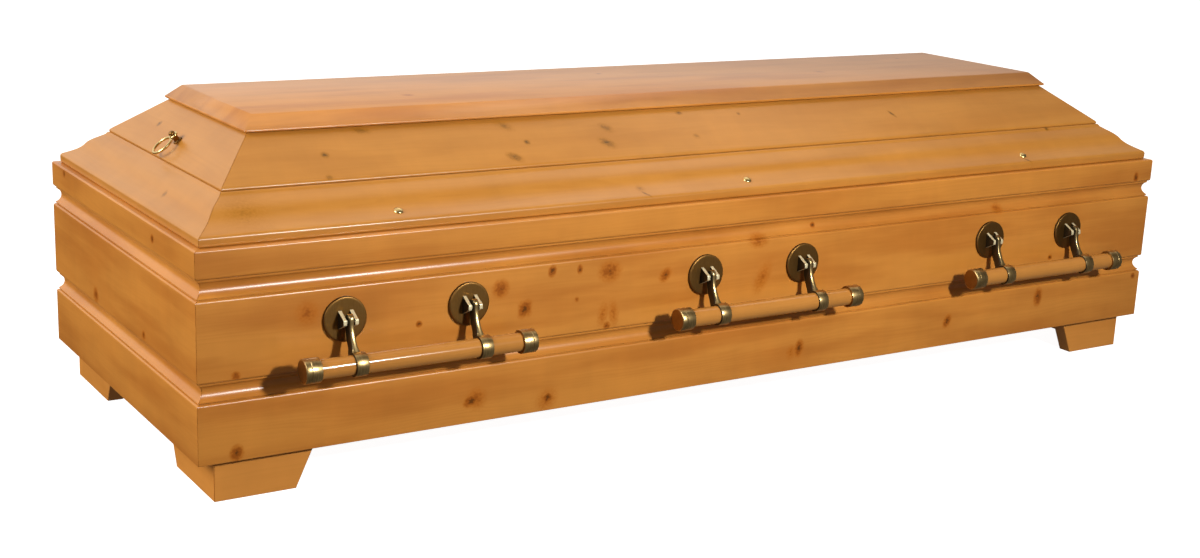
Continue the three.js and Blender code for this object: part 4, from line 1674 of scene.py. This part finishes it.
@dataclass(frozen=True)
class Studio:
    """The white floor, the soft light and the camera.

    Attributes:
        camera_place: where the camera stands, in metres.
        heading: how far it looks to the right of +Y, in degrees.
        dip: how far it looks down, in degrees.
        roll: how far it is rolled, in degrees.
        lens: its focal length in mm.
        sensor_width: the width in mm of the frame behind the lens.
        sight: how far the camera sees, in metres.
        floor_size: the floor's width in metres.
        wall_direction: where the white walls stand, at the back and the left.
        dim: brightness of the room away from the walls.
        wall: what the white walls add.
        dark_foot: share of the room's brightness that is lost below the walls.
        wall_edges: how much a direction has to face the walls, from where they begin to where they are full.
        wall_feet: the height of a direction at which the walls begin, and at which they are full.
        wall_colour: their colour.
    """

    camera_place: tuple[float, float, float] = (-1.8115, -2.6621, 0.9904)
    heading: float = 32.996
    dip: float = 14.532
    roll: float = 2.415
    lens: float = 52.09
    sensor_width: float = 36.0
    sight: float = 200.0
    floor_size: float = 60.0
    wall_direction: tuple[float, float, float] = (-0.25, 0.85, 0.45)
    dim: float = 0.13
    wall: float = 0.92
    dark_foot: float = 0.8
    wall_edges: Point = (0.1, 0.75)
    wall_feet: Point = (-0.12, 0.08)
    wall_colour: str = "#fff5e9"
    lights: tuple[SoftBox, ...] = (
        SoftBox("key", (0.15, -2.46, 1.25), (-0.45, -0.36, 0.3), (0.2, 0.2), 62),
        SoftBox("overhead", (1.5, 0.85, 2.9), (0.0, -0.1, 0.5), (3.0, 0.5), 5),
        SoftBox("left", (-4.6, 0.5, 2.6), (-0.9, 0.0, 0.3), (1.6, 1.6), 114),
        SoftBox("end", (-3.6, -0.6, 1.6), (-1.0, 0.0, 0.3), (1.6, 1.6), 45),
    )

    def build_floor(self) -> None:
        """Lays the floor. The coffin neither mirrors it nor takes light from it."""
        half = self.floor_size / 2
        mesh = bpy.data.meshes.new("studio_floor")
        corners = [(-half, -half, 0), (half, -half, 0), (half, half, 0), (-half, half, 0)]
        mesh.from_pydata(corners, [], [(0, 1, 2, 3)])
        mesh.materials.append(StudioFloor().build())
        floor = bpy.data.objects.new("studio_floor", mesh)
        floor.visible_glossy = False
        floor.visible_diffuse = False
        bpy.context.scene.collection.objects.link(floor)

    def build_surroundings(self) -> None:
        """Makes the room round the coffin: white walls behind and to the left, and a dim room elsewhere."""
        world = bpy.data.worlds.new("studio_room")
        world.use_nodes = True
        tree = world.node_tree
        tree.nodes.clear()
        direction = add_node(tree, "TexCoord").outputs["Generated"]
        facing = add_node(
            tree, "VectorMath", {0: direction, 1: self.wall_direction}, operation="DOT_PRODUCT"
        ).outputs["Value"]
        height = add_node(tree, "SeparateXYZ", {0: direction}).outputs["Z"]
        near_wall, above = (
            add_node(
                tree, "MapRange", {"Value": value, "From Min": low, "From Max": high},
                interpolation_type="SMOOTHSTEP",
            ).outputs[0]
            for value, (low, high) in ((facing, self.wall_edges), (height, self.wall_feet))
        )
        lost = self.dim * self.dark_foot
        added = add_node(
            tree, "Math", {0: above, 1: self.wall + lost, 2: -lost}, operation="MULTIPLY_ADD"
        ).outputs[0]
        strength = add_node(
            tree, "Math", {0: near_wall, 1: added, 2: self.dim}, operation="MULTIPLY_ADD"
        ).outputs[0]
        background = add_node(tree, "Background", {"Color": linear(self.wall_colour), "Strength": strength})
        add_node(tree, "OutputWorld", {"Surface": background.outputs[0]})
        bpy.context.scene.world = world

    def build_camera(self) -> None:
        """Sets up the camera at the photograph's place."""
        data = bpy.data.cameras.new("camera")
        data.lens = self.lens
        data.sensor_width = self.sensor_width
        data.clip_end = self.sight
        camera = bpy.data.objects.new("camera", data)
        camera.matrix_world = (
            Matrix.Translation(self.camera_place)
            @ Matrix.Rotation(math.radians(-self.heading), 4, "Z")
            @ Matrix.Rotation(math.radians(90 - self.dip), 4, "X")
            @ Matrix.Rotation(math.radians(self.roll), 4, "Z")
        )
        bpy.context.scene.collection.objects.link(camera)
        bpy.context.scene.camera = camera

    def build(self) -> None:
        """Sets up the floor, the light and the camera."""
        self.build_floor()
        self.build_surroundings()
        for light in self.lights:
            light.build()
        self.build_camera()
        bpy.context.scene.view_settings.view_transform = "Standard"


def main() -> None:
    """Builds the coffin on its frame, piece by piece, and sets up the studio."""
    logging.basicConfig(level=logging.INFO, format="%(message)s", stream=sys.stdout)
    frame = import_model()
    block = Block.from_frame()
    Studio().build()
    brass = Brasses.build()
    Box(block).build()
    Feet(block).build()
    lid = Lid(block)
    lid.build_boards()
    LidScrews(lid).build(brass.polished)
    Handles(block).build(brass)
    swivel = next(joint for joint in frame["joints"] if joint["name"] == "lid_ring_turn")
    LidRing().build(swivel, brass.polished, brass.bronzed)


if __name__ == "__main__":
    main()
